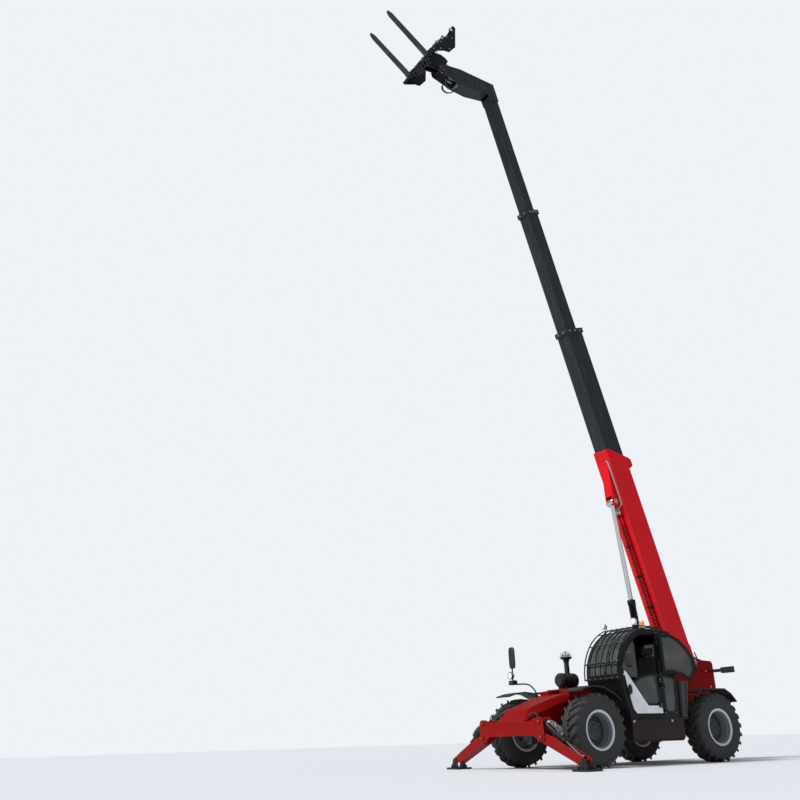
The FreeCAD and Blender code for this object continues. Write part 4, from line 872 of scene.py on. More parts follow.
@dataclass
class BoomTrim:
    """Bolts, guides, hoses and the lamp bracket along the boom."""

    outer_half: float = 0.185
    outer_low: float = -0.295
    outer_top: float = 0.25
    # columns: body, mouth, half width, underside, top, collar length
    collars: tuple[tuple[str, float, float, float, float, float], ...] = (("second_section", 7.5, 0.165,
        -0.258, 0.212, 0.11), ("third_section", 10.5, 0.14, -0.233, 0.097, 0.11))

    def build(self) -> None:
        """Build the boom's fittings."""
        self.mouth_fittings()
        self.collar_fittings()
        self.hoses()
        self.pins()
        self.seams()

    def mouth_fittings(self) -> None:
        """Pad bolts and lamp bracket at the outer section's mouth."""
        bolts, bracket, roller = Sketch(BOOM), Sketch(BOOM), Sketch(BOOM)
        face = self.outer_half + 0.012
        for out in (1, -1):
            for s, t in mm(4610, -225, 4530, -225, 4520, -80, 4440, 50, 4370, 170, 4290, 300, 4220, 325, 4200,
                    -225, 4200, 170):
                bolts.bolt((s, out * face, t), (0, out, 0), 0.014)
        for v in (-0.11, 0, 0.11):
            for s in (4.6, 4.48):
                bolts.bolt((s, v, self.outer_low), (0, 0, -1), 0.014)
        bolts.piece("mouth_bolts", Paint.BOOM_RED, "boom")
        for v in (-0.15, 0.138):
            bracket.plate(mm(4215, 251, 4300, 251, 4262, 345, 4262, 415, 4215, 415), v, v + 0.012)
        bracket.block((4.215, -0.15, 0.335), (4.227, 0.15, 0.415))
        bracket.block((4.215, -0.15, 0.2505), (4.3, 0.15, 0.258))
        bracket.piece("mouth_bracket", Paint.BLACK, "boom", 0.003)
        half = mm(24, 100, 34, 120, 30, 132, 12, 132)
        roller.lathe([(r, -h) for r, h in reversed(half)] + half, (4.262, 0, 0.3), (0, 1, 0), 24)
        roller.piece("mouth_roller", Paint.STEEL, "boom")

    def collar_fittings(self) -> None:
        """Pad adjusters round the two collars."""
        for body, mouth, half, low, top, length in self.collars:
            bolts, lugs, pads = Sketch(BOOM), Sketch(BOOM), Sketch(BOOM)
            heel, middle = mouth - length, mouth - length / 2
            for out in (1, -1):
                for t in (low + 0.07, (low + top) / 2, top - 0.07):
                    bolts.bolt((middle, out * (half + 0.028), t), (0, out, 0), 0.015)
                for v in (-half * 0.5, half * 0.5):
                    edge = top + 0.028 if out > 0 else low - 0.028
                    bolts.bolt((middle, v, edge), (0, 0, out), 0.015)
                for face, way in ((top, 1), (low, -1)):
                    root = face + way * 0.001
                    lugs.plate([(heel - 0.012, root), (heel + 0.01, root), (heel + 0.01, face + way * 0.028)],
                        out * half * 0.75 - 0.006, out * half * 0.75 + 0.006)
                side = out * (half - 0.028)
                pads.block((mouth + 0.0005, side - 0.012, low + 0.06), (mouth + 0.01, side + 0.012,
                    top - 0.06))
            bolts.piece(f"{body}_pad_bolts", Paint.ZINC, body)
            lugs.piece(f"{body}_collar_ribs", Paint.BOOM_GREY, body, 0.002)
            pads.piece(f"{body}_mouth_pads", Paint.GREY_TRIM, body, 0.002)

    def hoses(self) -> None:
        """Wrapped hoses, their clamps and the pipe on the outer section."""
        under = self.outer_low
        centre = under - 0.033
        runs, coils = Sketch(BOOM), Sketch(BOOM)
        for v in (-0.032, 0.032):
            runs.bar((0.43, v, centre), (3.29, v, centre), 0.0235, 18, 0.003)
        turns = [(0.46 + 0.006 * k, 0.064 * cos(0.2 * pi * k),
            centre + 0.03 * sin(0.2 * pi * k)) for k in range(436)]
        coils.tube(turns, 0.011, 6, 1)
        runs.piece("lift_hoses", Paint.GUARDED, "boom", replaces=("boom_hoses",))
        coils.piece("hose_coils", Paint.WRAP, "boom")
        clamps, screws = Sketch(BOOM), Sketch(BOOM)
        for s in (0.6, 1.25, 1.9, 2.55, 3.2):
            clamps.plate([(s, under - 0.0003), (s + 0.03, under - 0.0003), (s + 0.03, centre - 0.026),
                (s + 0.024, centre - 0.037), (s + 0.006, centre - 0.037), (s, centre - 0.026)], -0.07, 0.07)
            for v in (-0.062, 0.062):
                screws.bolt((s + 0.015, v, centre - 0.037), (0, 0, -1), 0.007)
        clamps.piece("hose_clamps", Paint.BLACK, "boom", 0.003)
        screws.piece("clamp_screws", Paint.BLACK, "boom")
        pipe = Sketch(BOOM)
        for v in (-0.032, 0.032):
            pipe.bar((3.27, v, centre), (3.33, v, centre), 0.0265, 6, 0.004)
            side = 0.155 if v > 0 else 0.135
            pipe.tube([(3.32, v, centre), (3.37, v + 0.01, centre + 0.004), (3.43, side * 0.7, under - 0.02),
                (3.5, side, under - 0.013), (3.95, side, under - 0.012), (4.3, side, under - 0.012),
                (4.4, side - 0.01, under - 0.012), (4.44, side - 0.03, under - 0.016)], 0.0095, 10, 5)
        pipe.piece("boom_pipe", Paint.ZINC, "boom")
        guide = Sketch(BOOM)
        top = self.outer_top
        guide.plate([(0.46, top + 0.0003), (1.02, top + 0.0003), (1.02, top + 0.024), (0.97, top + 0.045),
            (0.52, top + 0.045), (0.46, top + 0.024)], -0.115, 0.035)
        guide.piece("hose_guide", Paint.BLACK, "boom", 0.006)
        screws = Sketch(BOOM)
        for s in (0.56, 0.74, 0.92):
            for v in (-0.095, 0.015):
                screws.bolt((s, v, top + 0.045), (0, 0, 1), 0.008)
        screws.piece("guide_screws", Paint.ZINC, "boom")

    def pins(self) -> None:
        """Keeper plates and their screws on the pivot and lift pins."""
        caps, screws = Sketch(BOOM), Sketch(BOOM)
        for out in (1, -1):
            caps.lathe(mm(0, 384.5, 52, 384.5, 56, 390, 52, 396, 0, 396), (0, 0, 0), (0, out, 0), 32)
            for turn in (0.6, 0.6 + pi):
                screws.bolt((0.03 * cos(turn), out * 0.396, 0.03 * sin(turn)), (0, out, 0), 0.008)
            caps.lathe(mm(0, 124.5, 48, 124.5, 50, 130, 44, 136, 0, 136), (3.55, 0, -0.42), (0, out, 0), 28)
            screws.bolt((3.55, out * 0.136, -0.42), (0, out, 0), 0.01)
        caps.piece("pin_caps", Paint.STEEL, "boom")
        screws.piece("pin_screws", Paint.ZINC, "boom")

    def seams(self) -> None:
        """Weld beads along the outer section's long edges and plates."""
        beads = Sketch(BOOM)
        for out in (1, -1):
            for t in (self.outer_low + 0.01, self.outer_top - 0.01):
                beads.bar((0.95, out * self.outer_half, t), (4.15, out * self.outer_half, t), 0.0045, 6)
            # columns: bead radius, place across, places along and to the back
            for radius, v, line in ((0.004, 0.211, ((0.02, -0.29), (0.89, -0.29))),
                    (0.006, 0.1865, ((0.91, -0.29), (0.63, 0.042), (0.31, 0.247))),
                    (0.006, 0.1865, ((4.153, -0.285), (4.153, 0.245))), (0.005, 0.2112,
                    ((0.74, -0.285), (0.74, -0.02))), (0.007, 0.211, ((0.73, -0.29), (0.806, -0.167))),
                    (0.008, 0.187, ((0.806, -0.167), (1.06, 0.247)))):
                beads.tube([(s, out * v, t) for s, t in line], radius, 6, 1)
            beads.lathe(mm(95, 210.5, 104, 210.5, 95, 220), (0, 0, 0), (0, out, 0), 36)
        beads.piece("weld_beads", Paint.BOOM_RED, "boom")


@dataclass
class CylinderTrim:
    """Glands, ports and pipes of one cylinder, given by its two pins."""

    label: str
    base: Point
    eye: Point
    barrel_radius: float
    barrel_length: float
    rod_radius: float
    barrel_body: str
    across: Point
    pipe_side: int = 1
    pipe_paint: Paint = Paint.ZINC

    def build(self) -> None:
        """Build the cylinder's fittings."""
        base, eye = Vector(self.base), Vector(self.eye)
        along = (eye - base).normalized()
        across = Vector(self.across).normalized()
        up = across.cross(along).normalized() * self.pipe_side
        radius, length, rod = self.barrel_radius, self.barrel_length, self.rod_radius
        Sketch().lathe([(rod + 0.0015, length - 0.05), (radius * 0.98, length - 0.05),
            (radius * 1.06, length - 0.042), (radius * 1.06, length - 0.006), (radius * 0.96, length + 0.004),
            (rod + 0.006, length + 0.006), (rod + 0.0015, length + 0.003)], base, along,
            32).piece(f"{self.label}_gland", Paint.BLACK, self.barrel_body)
        Sketch().lathe([(rod + 0.001, length + 0.004), (rod + 0.006, length + 0.005),
            (rod + 0.004, length + 0.012), (rod + 0.001, length + 0.013)], base, along,
            24).piece(f"{self.label}_wiper", Paint.GREY_TRIM, self.barrel_body)
        ports, straps = Sketch(), Sketch()
        near, far = 0.1 + radius * 0.4, length - 0.11
        for place in (near, far):
            seat = base + along * place + up * (radius * 0.9)
            ports.bar(seat, seat + up * (radius * 0.1 + 0.022), 0.016, 10, 0.002)
            ports.bolt(seat + up * (radius * 0.1 + 0.022), up, 0.013)
        ports.piece(f"{self.label}_ports", Paint.ZINC, self.barrel_body)
        start, end = near + 0.02, far
        Sketch().tube([base + along * at + up * (radius + lift) for at,
            lift in ((end, 0.014), (end - 0.03, 0.022), (end - 0.08, 0.013), ((start + end) / 2, 0.013),
            (start + 0.08, 0.013), (start + 0.03, 0.022))], 0.0075, 8, 6).piece(f"{self.label}_pipe",
            self.pipe_paint, self.barrel_body)
        for share in (0.3, 0.62, 0.88):
            at = start + (end - start) * share
            straps.lathe([(radius + 0.0008, at), (radius + 0.003, at), (radius + 0.003, at + 0.018),
                (radius + 0.0008, at + 0.018)], base, along, 28)
            ear = base + along * (at + 0.009) + up * radius
            straps.bar(ear, ear + up * 0.026, 0.009, 8)
        straps.piece(f"{self.label}_straps", Paint.BLACK, self.barrel_body)


@dataclass
class HeadTrim:
    """Pins, hoses and valve block of the goose neck."""

    half: float = 0.145

    def build(self) -> None:
        """Build the neck's fittings."""
        s0, t0 = LAYOUT.head_pivot
        caps, screws, pins = Sketch(BOOM), Sketch(BOOM), Sketch(BOOM)
        face = self.half + 0.0005
        for out in (1, -1):
            caps.lathe([(0.037, face), (0.075, face), (0.078, self.half + 0.006), (0.072, self.half + 0.012),
                (0.037, self.half + 0.012)], (s0, 0, t0), (0, out, 0), 32)
            caps.lathe([(0.0295, face), (0.056, face), (0.056, self.half + 0.009),
                (0.0295, self.half + 0.009)], (13.68, 0, -0.26), (0, out, 0), 28)
            for turn in (0.5, 2.6, 4.7):
                pins.bolt((s0 + 0.056 * cos(turn), out * (self.half + 0.012), t0 + 0.056 * sin(turn)),
                    (0, out, 0), 0.01)
            for s, t in mm(13460, -30, 13600, 20, 13800, 20, 13460, -170, 13860, -100, 13840, -550, 14020,
                    -800):
                screws.bolt((s, out * self.half, t), (0, out, 0), 0.011)
        caps.piece("neck_pin_caps", Paint.BOOM_GREY, "inner_section")
        screws.piece("neck_bolts", Paint.BOOM_GREY, "inner_section")
        pins.piece("neck_pin_screws", Paint.ZINC, "inner_section")
        block = Sketch(BOOM)
        block.block((13.775, -0.09, -1.05), (13.835, 0.09, -0.93))
        for v in (-0.065, 0.0, 0.065):
            block.bar((13.805, v, -1.072), (13.805, v, -0.908), 0.019, 16, 0.003)
        for v in (-0.055, 0.055):
            block.bar((13.925, v, -1.085), (13.995, v, -1.235), 0.022, 16, 0.003)
        block.piece("neck_valve_block", Paint.STEEL, "inner_section", 0.004)
        Sketch(BOOM).plate(mm(13645, -556, 13666, -732, 13703, -834, 13712, -829, 13676, -729, 13655, -556),
            -0.122, 0.122).piece("neck_cover", Paint.BOOM_GREY, "inner_section", 0.002)
        lines = Sketch(BOOM)
        for v, out, drop in ((-0.085, 0.0, 0.0), (-0.045, 0.022, -0.02), (0.045, 0.012, 0.018),
                (0.085, 0.03, -0.01)):
            lines.tube([(13.79, v, -1.0), (13.735, v, -1.07), (13.69 - out, v * 1.05, -1.16),
                (13.662 - out, v * 1.1, -1.265 + drop), (13.682 - out, v * 1.1, -1.36 + drop),
                (13.742 - out * 0.5, v, -1.412 + drop * 0.5), (13.815, v, -1.395), (13.875, v * 0.95, -1.325),
                (13.925, v * 0.9, -1.24)], 0.0115, 9, 6)
            lines.tube([(13.8, v, -0.95), (13.76, v, -0.84), (13.77, v * 0.9, -0.7), (13.76, v * 0.6, -0.56),
                (13.7, v * 0.5, -0.42)], 0.012, 9, 6)
        lines.piece("neck_hoses", Paint.HOSE, "inner_section")
        seam = Sketch(BOOM)
        for out in (1, -1):
            for line in (((13.422, 0.046), (13.422, -0.208)), ((13.883, 0.048), (14.197, -0.902)),
                    ((13.602, -0.214), (13.661, -0.73), (13.807, -1.105))):
                seam.tube([(s, out * self.half, t) for s, t in line], 0.005, 6, 1)
        seam.piece("neck_welds", Paint.BOOM_GREY, "inner_section")


@dataclass
class CarriageTrim:
    """Positioner rods, hoses, lamp and latches of the fork carriage."""

    face: float = 0.43
    half: float = 0.63

    def build(self) -> None:
        """Build the carriage's fittings."""
        matrix = FORK @ Matrix.Translation((self.face, 0, 0))
        inner = self.half - 0.016
        rods, barrels, ends = Sketch(matrix), Sketch(matrix), Sketch(matrix)
        for w, out in ((0.045, 1), (-0.115, -1)):
            rods.bar((-0.035, -inner, w), (-0.035, inner, w), 0.016, 18, 0.002)
            barrels.bar((-0.035, -0.1 * out, w), (-0.035, 0.34 * out, w), 0.03, 24, 0.004)
            for v in (-0.1 * out, 0.34 * out):
                barrels.bar((-0.035, v - 0.016, w), (-0.035, v + 0.016, w), 0.035, 24, 0.003)
            for v in (-inner, inner):
                ends.lathe(mm(16.5, 0, 30, 0, 30, 16, 16.5, 20), (-0.035, v, w), (0, 1 if v < 0 else -1, 0),
                    20)
        for w in (-0.09, 0.2):
            for near, far in ((-0.6, -0.445), (-0.315, 0.315), (0.445, 0.6)):
                rods.bar((0.045, near, w), (0.045, far, w), 0.017, 18, 0.002)
                for v in (near, far):
                    ends.bar((0.045, v - 0.008, w), (0.045, v + 0.008, w), 0.027, 20, 0.002)
            for v in (-0.59, 0.0, 0.59):
                ends.block((-0.006, v - 0.009, w - 0.032), (0.069, v + 0.009, w + 0.032))
        rods.piece("positioner_rods", Paint.CHROME, "carriage")
        barrels.piece("positioner_barrels", Paint.BLACK, "carriage")
        ends.piece("positioner_ends", Paint.STEEL, "carriage")
        hooks, screws = Sketch(matrix), Sketch(matrix)
        for v in (-0.38, 0.38):
            for near, far, low, high in ((0.002, 0.046, 0.2755, 0.33), (-0.062, 0.046, 0.33, 0.345),
                    (-0.075, -0.0605, 0.235, 0.345)):
                hooks.block((near, v - 0.055, low), (far, v + 0.055, high))
            hooks.bar((0.022, v, 0.345), (0.022, v, 0.385), 0.012, 12, 0.002)
            hooks.lathe(mm(6, -6, 24, -6, 24, 6, 6, 6), (0.022, v, 0.395), (0, 1, 0), 18)
        hooks.piece("fork_hooks", Paint.FORK, "carriage", 0.003)
        for out in (1, -1):
            for u, w in mm(-270, 20, -130, -200, -30, -390, -30, 240, 30, 560, -130, 360, -30, -30):
                screws.bolt((u, out * self.half, w), (0, out, 0), 0.012)
        for v in (-0.245, 0.325):
            for w in (-0.39, -0.19, -0.03, 0.245):
                screws.bolt((-0.0605, v, w), (-1, 0, 0), 0.01)
        screws.piece("carriage_bolts", Paint.ZINC, "carriage")
        lines = Sketch(matrix)
        for k, v in enumerate((-0.1, -0.05, 0.05, 0.1)):
            lines.tube([(-0.05, v * 2.2, -0.1 + 0.01 * k), (-0.085, v * 2.2, -0.06), (-0.105, v * 2.3, 0.06),
                (-0.085, v * 2.5, 0.16), (-0.048, v * 2.6, 0.19)], 0.009, 8, 6)
        lines.tube([(-0.04, 0.34, 0.075), (-0.06, 0.37, 0.14), (-0.055, 0.46, 0.17), (-0.05, 0.56, 0.14),
            (-0.045, 0.6, 0.1)], 0.009, 8, 6)
        lines.tube([(-0.04, -0.34, -0.085), (-0.06, -0.37, -0.03), (-0.055, -0.46, 0.0),
            (-0.05, -0.56, -0.02), (-0.045, -0.6, -0.06)], 0.009, 8, 6)
        for k in range(6):
            v, sag = -0.26 + 0.1 * k, 0.018 * (k % 3)
            lines.tube([(-0.05, v, -0.2), (-0.11, v + 0.01, -0.26 - sag), (-0.15 - sag, v + 0.03, -0.34),
                (-0.12 - sag, v + 0.05, -0.43 - sag), (-0.07, v + 0.06, -0.45), (-0.04, v + 0.07, -0.395)],
                0.012, 8, 6)
        lines.piece("carriage_hoses", Paint.HOSE, "carriage")
        ring = Sketch(matrix)
        ring.lathe([(0.045 + 0.01 * cos(0.25 * pi * k), 0.01 * sin(0.25 * pi * k)) for k in range(8)],
            (0.006, 0.026 - inner, -0.262), (0, 1, 0), 28)
        ring.bar((0.006, -inner, -0.215), (0.006, 0.04 - inner, -0.215), 0.012, 14, 0.002)
        ring.piece("carriage_ring", Paint.ZINC, "carriage")
        stays = Sketch(matrix)
        for v in (-0.46, -0.2, 0.0, 0.2, 0.46):
            stays.bar((-0.03, v, 0.27), (-0.002, v, -0.36), 0.01, 10)
        stays.piece("carriage_stays", Paint.BLACK, "carriage")
        centre = (0.02, self.half + 0.002, 0.49)
        Sketch(matrix).lathe(mm(0, 0, 30, 0, 46, 16, 48, 48, 43, 50, 41, 40, 0, 40), centre, (0, 1, 0),
            28).piece("carriage_lamp", Paint.PLASTIC, "carriage")
        Sketch(matrix).lathe(mm(0, 40.5, 40.5, 40.5, 40, 47, 20, 52, 0, 53), centre, (0, 1, 0),
            28).piece("carriage_lamp_lens", Paint.LENS, "carriage")


@dataclass
class StabiliserTrim:
    """Hoses, pin caps and foot ribs of the stabilisers."""

    plane: float = 0.93
    half_depth: float = 0.103
    leg_pivot: tuple[float, float] = (0.83, 0.535)
    ram_base: tuple[float, float] = (0.8, 0.78)
    foot_pin: tuple[float, float] = (1.77, 0.15)

    def build(self) -> None:
        """Build both sides' fittings."""
        x = self.plane
        caps, screws, hoses = Sketch(), Sketch(), Sketch()
        for side, out in SIDES:
            for y, z, radius in ((*self.leg_pivot, 0.03), (*self.ram_base, 0.022)):
                for face in (1, -1):
                    at = (x + face * (self.half_depth + 0.0125), out * y, z)
                    caps.lathe([(0.0, 0.0), (radius * 1.35, 0.0), (radius * 1.45, 0.004),
                        (radius * 1.3, 0.009), (0.0, 0.009)], at, (face, 0, 0), 24)
                    screws.bolt((at[0] + face * 0.009, *at[1:]), (face, 0, 0), 0.008)
            for k, lift in enumerate((0.0, 0.028)):
                line = ((-0.06, 0.3, 0.795), (-0.05, 0.4, 0.85 + lift), (-0.03, 0.51, 0.89 + lift),
                    (-0.02, 0.6, 0.9 + lift), (-0.015, 0.67 - lift * 0.4, 0.855 + lift),
                    (-0.01, 0.695 - lift * 0.4, 0.78), (-0.01, 0.69 - lift * 0.4, 0.7))
                hoses.tube([(x + 0.03 * k + u, out * v, w) for u, v, w in line], 0.01, 9, 6)
            ribs, bolts, edges = Sketch(), Sketch(), Sketch()
            for face in (1, -1):
                for v in (-0.09, 0.0, 0.09):
                    root = x + face * 0.0985
                    ribs.lathe(mm(0, 0, 9, 0, 9, 50, 0, 50), (root + face * 0.012,
                        out * (self.foot_pin[0] + v), 0.0245), (0, 0, 1), 8)
                ribs.lathe(mm(24.5, 0, 46, 0, 46, 10, 24.5, 10), (x + face * 0.0985, out * self.foot_pin[0],
                    self.foot_pin[1]), (face, 0, 0), 24)
            for v in (-0.172, 0.165):
                ribs.block((x - 0.168, out * self.foot_pin[0] + v, 0.0245),
                    (x + 0.168, out * self.foot_pin[0] + v + 0.007, 0.034))
            ribs.piece(f"{side}_foot_ribs", Paint.BLACK, f"{side}_foot", 0.002)
            self.spring_hoses(side, out)
            start = Vector((x, out * self.leg_pivot[0], self.leg_pivot[1]))
            run = Vector((x, out * self.foot_pin[0], self.foot_pin[1])) - start
            length, along = run.length, run.normalized()
            up = Vector((0, -along.z * out, along.y * out))
            for face in (1, -1):
                for share in (0.4, 0.55, 0.7):
                    bolts.bolt(start + along * length * share + up * 0.035 + Vector((face * 0.08, 0, 0)),
                        (face, 0, 0), 0.009)
                edges.tube([start + along * a + up * b + Vector((face * 0.0795, 0, 0)) for a,
                    b in ((0.045, 0.068), (0.262, 0.092), (length - 0.19, 0.067))], 0.005, 6, 1)
            bolts.piece(f"{side}_leg_bolts", Paint.RED, f"{side}_leg")
            edges.piece(f"{side}_leg_edges", Paint.RED, f"{side}_leg")
        caps.piece("stabiliser_pin_caps", Paint.RED)
        screws.piece("stabiliser_bolts", Paint.ZINC)
        hoses.piece("stabiliser_hoses", Paint.HOSE)

    def spring_hoses(self, side: str, out: int) -> None:
        """Hoses in spring guards that arch over one leg's ram.

        Args:
            side: left or right.
            out: 1 on the left, -1 on the right.
        """
        base = Vector((self.plane, out * self.ram_base[0], self.ram_base[1]))
        along = Vector((0, out * 0.8408, -0.5413))
        lift = Vector((0, out * 0.5413, 0.8408))
        across = Vector((1, 0, 0))
        hoses, springs = Sketch(), Sketch()
        for k, v in enumerate((-0.034, 0.0, 0.034)):
            start, end, top = 0.11 + 0.012 * k, 0.48 - 0.01 * k, 0.112 - 0.01 * k
            places = []
            for step in range(161):
                t = step / 160
                rise = 0.046 + (top - 0.046) * sin(pi * t) ** 0.4
                places.append(base + along * (start + (end - start) * t) + lift * rise + across * v)
            hoses.tube(places[::16], 0.01, 8, 4)
            springs.tube([place + (across * cos(0.375 * pi * n) + lift * sin(0.375 * pi * n)) * 0.0125 for n,
                place in enumerate(places)], 0.0026, 5, 2)
        hoses.piece(f"{side}_ram_hoses", Paint.HOSE, f"{side}_leg_barrel")
        springs.piece(f"{side}_ram_springs", Paint.ZINC, f"{side}_leg_barrel")


@dataclass
class EngineTrim:
    """Louvres, latches, handle and the air cleaner on the engine side."""

    skin: float = -1.15

    def build(self) -> None:
        """Build the engine side's fittings."""
        slats = Sketch()
        x0, x1 = -2.2, -1.42
        for k in range(9):
            z = 1.165 + 0.022 * k
            y = self.skin + 0.04 * (z - 1.15) / 0.24
            slats.plate([(x0, z), (x1, z), (x1, z + 0.007), (x0, z + 0.007)], y - 0.01, y - 0.0005)
        for k in range(12):
            x = x0 + 0.05 + 0.058 * k
            slats.block((x, -0.86, 1.4505), (x + 0.03, -0.56, 1.4605))
        slats.piece("hood_louvres", Paint.PLASTIC, "hood", 0.002)
        latch = Sketch()
        for x in (-2.1, -1.5):
            latch.block((x - 0.035, self.skin + 0.004, 1.04), (x + 0.035, self.skin + 0.01, 1.1))
            latch.block((x - 0.02, self.skin - 0.01, 1.052), (x + 0.02, self.skin + 0.004, 1.075))
        latch.piece("hood_latches", Paint.PLASTIC, "hood", 0.004)
        Sketch().tube([(-1.8 + u, self.skin + v, z) for u, v, z in ((-0.1, -0.002, 1.105),
            (-0.085, -0.035, 1.108), (0.085, -0.035, 1.108), (0.1, -0.002, 1.105))], 0.008, 10,
            6).piece("hood_handle", Paint.PLASTIC, "hood")
        self.air_cleaner()
        self.tub()

    def air_cleaner(self) -> None:
        """Drum, clamp bands, stack and cap of the air cleaner."""
        x, y, z = -1.06, -0.72, 1.56
        stack = x - 0.02
        drum, cap, bands = Sketch(), Sketch(), Sketch()
        drum.lathe(mm(0, -200, 118, -200, 132, -192, 139, -175, 139, 55, 134, 60, 134, 75, 139, 80, 139, 190,
            132, 206, 112, 210, 108, 236, 95, 240, 60, 232, 0, 230), (x, y, z), (1, 0, 0), 56)
        drum.lathe(mm(0, 105, 52, 105, 50, 300, 50, 360, 62, 366, 62, 378, 0, 378), (stack, y, z), (0, 0, 1),
            32)
        for low in (x - 0.15, x + 0.11):
            drum.block((low, y - 0.105, 1.4003), (low + 0.045, y + 0.105, 1.475))
        drum.piece("air_cleaner_drum", Paint.PLASTIC, replaces=("air_cleaner",))
        cap.lathe(mm(0, 0, 54, 0, 60, 12, 104, 40, 122, 50, 125, 64, 118, 72, 0, 72), (stack, y, 1.936),
            (0, 0, 1), 40)
        for k in range(14):
            turn = 2 * pi * k / 14
            foot = Vector((stack + 0.07 * cos(turn), y + 0.07 * sin(turn), 2.006))
            cap.bar(foot, foot + Vector((0.012 * sin(turn), -0.012 * cos(turn), 0.052)), 0.006, 6)
        cap.bar((stack, y, 2.006), (stack, y, 2.128), 0.008, 12, 0.002)
        cap.piece("precleaner", Paint.PLASTIC)
        Sketch().lathe(mm(0, 73.5, 112, 73.5, 118, 80, 117, 108, 106, 142, 78, 170, 40, 184, 0, 188),
            (stack, y, 1.936), (0, 0, 1), 40).piece("precleaner_bowl", Paint.CLEAR)
        for at in (-0.125, 0.01, 0.135):
            bands.lathe([(0.1395, at), (0.142, at), (0.142, at + 0.022), (0.1395, at + 0.022)], (x, y, z),
                (1, 0, 0), 48)
            bands.bar((x + at + 0.011, y - 0.13, z + 0.06), (x + at + 0.011, y - 0.118, z + 0.088), 0.008, 8)
        bands.lathe(mm(52.5, 345, 56, 345, 56, 358, 52.5, 358), (stack, y, z), (0, 0, 1), 32)
        bands.piece("cleaner_bands", Paint.BLACK)

    def tub(self) -> None:
        """Bolts and flanges on the tub's outside."""
        bolts, rim = Sketch(), Sketch()
        for k in range(6):
            for z in (0.62, 0.91):
                bolts.bolt((-2.2 + 0.25 * k, -1.12, z), (0, -1, 0), 0.01)
        bolts.piece("tub_bolts", Paint.ZINC)
        rim.block((-2.285, -1.126, 0.56), (-0.835, -1.1202, 0.58))
        rim.block((-1.3, -1.126, 0.94), (-0.835, -1.1202, 0.956))
        rim.piece("tub_flanges", Paint.RED, edge=0.002)


@dataclass
class TyreTrim:
    """Round carcasses with shouldered lugs for the four tyres."""

    radius: float = 0.612
    half_width: float = 0.2
    lug_height: float = 0.04
    lug_thickness: float = 0.05
    lug_skew: float = 0.15
    lug_count: int = 22

    def build(self) -> None:
        """Build every tyre."""
        for end, x in ENDS:
            for side, out in SIDES:
                self.one(f"{end}_{side}", x, out)

    def one(self, label: str, x: float, out: int) -> None:
        """Build one tyre.

        Args:
            label: which wheel.
            x: place of its axle.
            out: 1 on the left, -1 on the right.
        """
        tyre = Sketch(Matrix.Translation((x, out * LAYOUT.wheel_y, LAYOUT.axle_height)) @ Matrix.Diagonal((1,
            out, 1, 1)))
        tread = self.radius - self.lug_height
        side = [(0.3056, 0.164), (0.3266, 0.167), (0.352, 0.1745), (0.372, 0.18), (0.42, 0.1905),
            (0.455, 0.197), (0.486, 0.199), (0.515, 0.1955), (0.543, 0.183), (0.56, 0.168),
            (tread - 0.001, 0.15)]
        profile = side + [(tread, 0.1), (tread, -0.1)] + [(r, -y) for r, y in reversed(side)]
        tyre.lathe(profile, (0, 0, 0), (0, 1, 0), 84)
        for row in (1, -1):
            for index in range(self.lug_count):
                turn = 2 * pi * (index + (0.5 if row < 0 else 0.0)) / self.lug_count
                self.lug(tyre, Matrix.Rotation(turn, 4, "Y"), row)
        tyre.piece(f"{label}_tyre_tread", Paint.TYRE, f"{label}_wheel", 0.005, replaces=(f"{label}_tyre",))

    def lug(self, tyre: Sketch, place: Matrix, row: int) -> None:
        """Add one slanted lug at the top of the tyre as it is turned.

        Args:
            tyre: the sketch to add to.
            place: the turn about the axle.
            row: 1 for the outer row, -1 for the inner one.
        """
        reach, width = self.lug_skew / 2, self.lug_thickness / 2
        end, lead = self.half_width - 0.008, 0.012
        root, top = self.radius - self.lug_height - 0.012, self.radius
        # columns: distance from the centre plane, radius, share of the width
        section = [(-lead, root, 1.06), (-lead, top, 0.88), (end * 0.45, top, 0.9), (end - 0.036, top, 0.96),
            (end, top - 0.024, 1.02), (end, root - 0.06, 1.12), (end - 0.03, root - 0.06, 1.1)]
        rings = []
        for face in (-1, 1):
            ring = []
            for y, radius, share in section:
                x = reach - (y + lead) / (end + lead) * 2 * reach + face * width * share
                ring.append(tyre.vert(place @ Vector((x, row * y, (radius ** 2 - x ** 2) ** 0.5))))
            rings.append(ring)
        tyre.skin(rings, True)


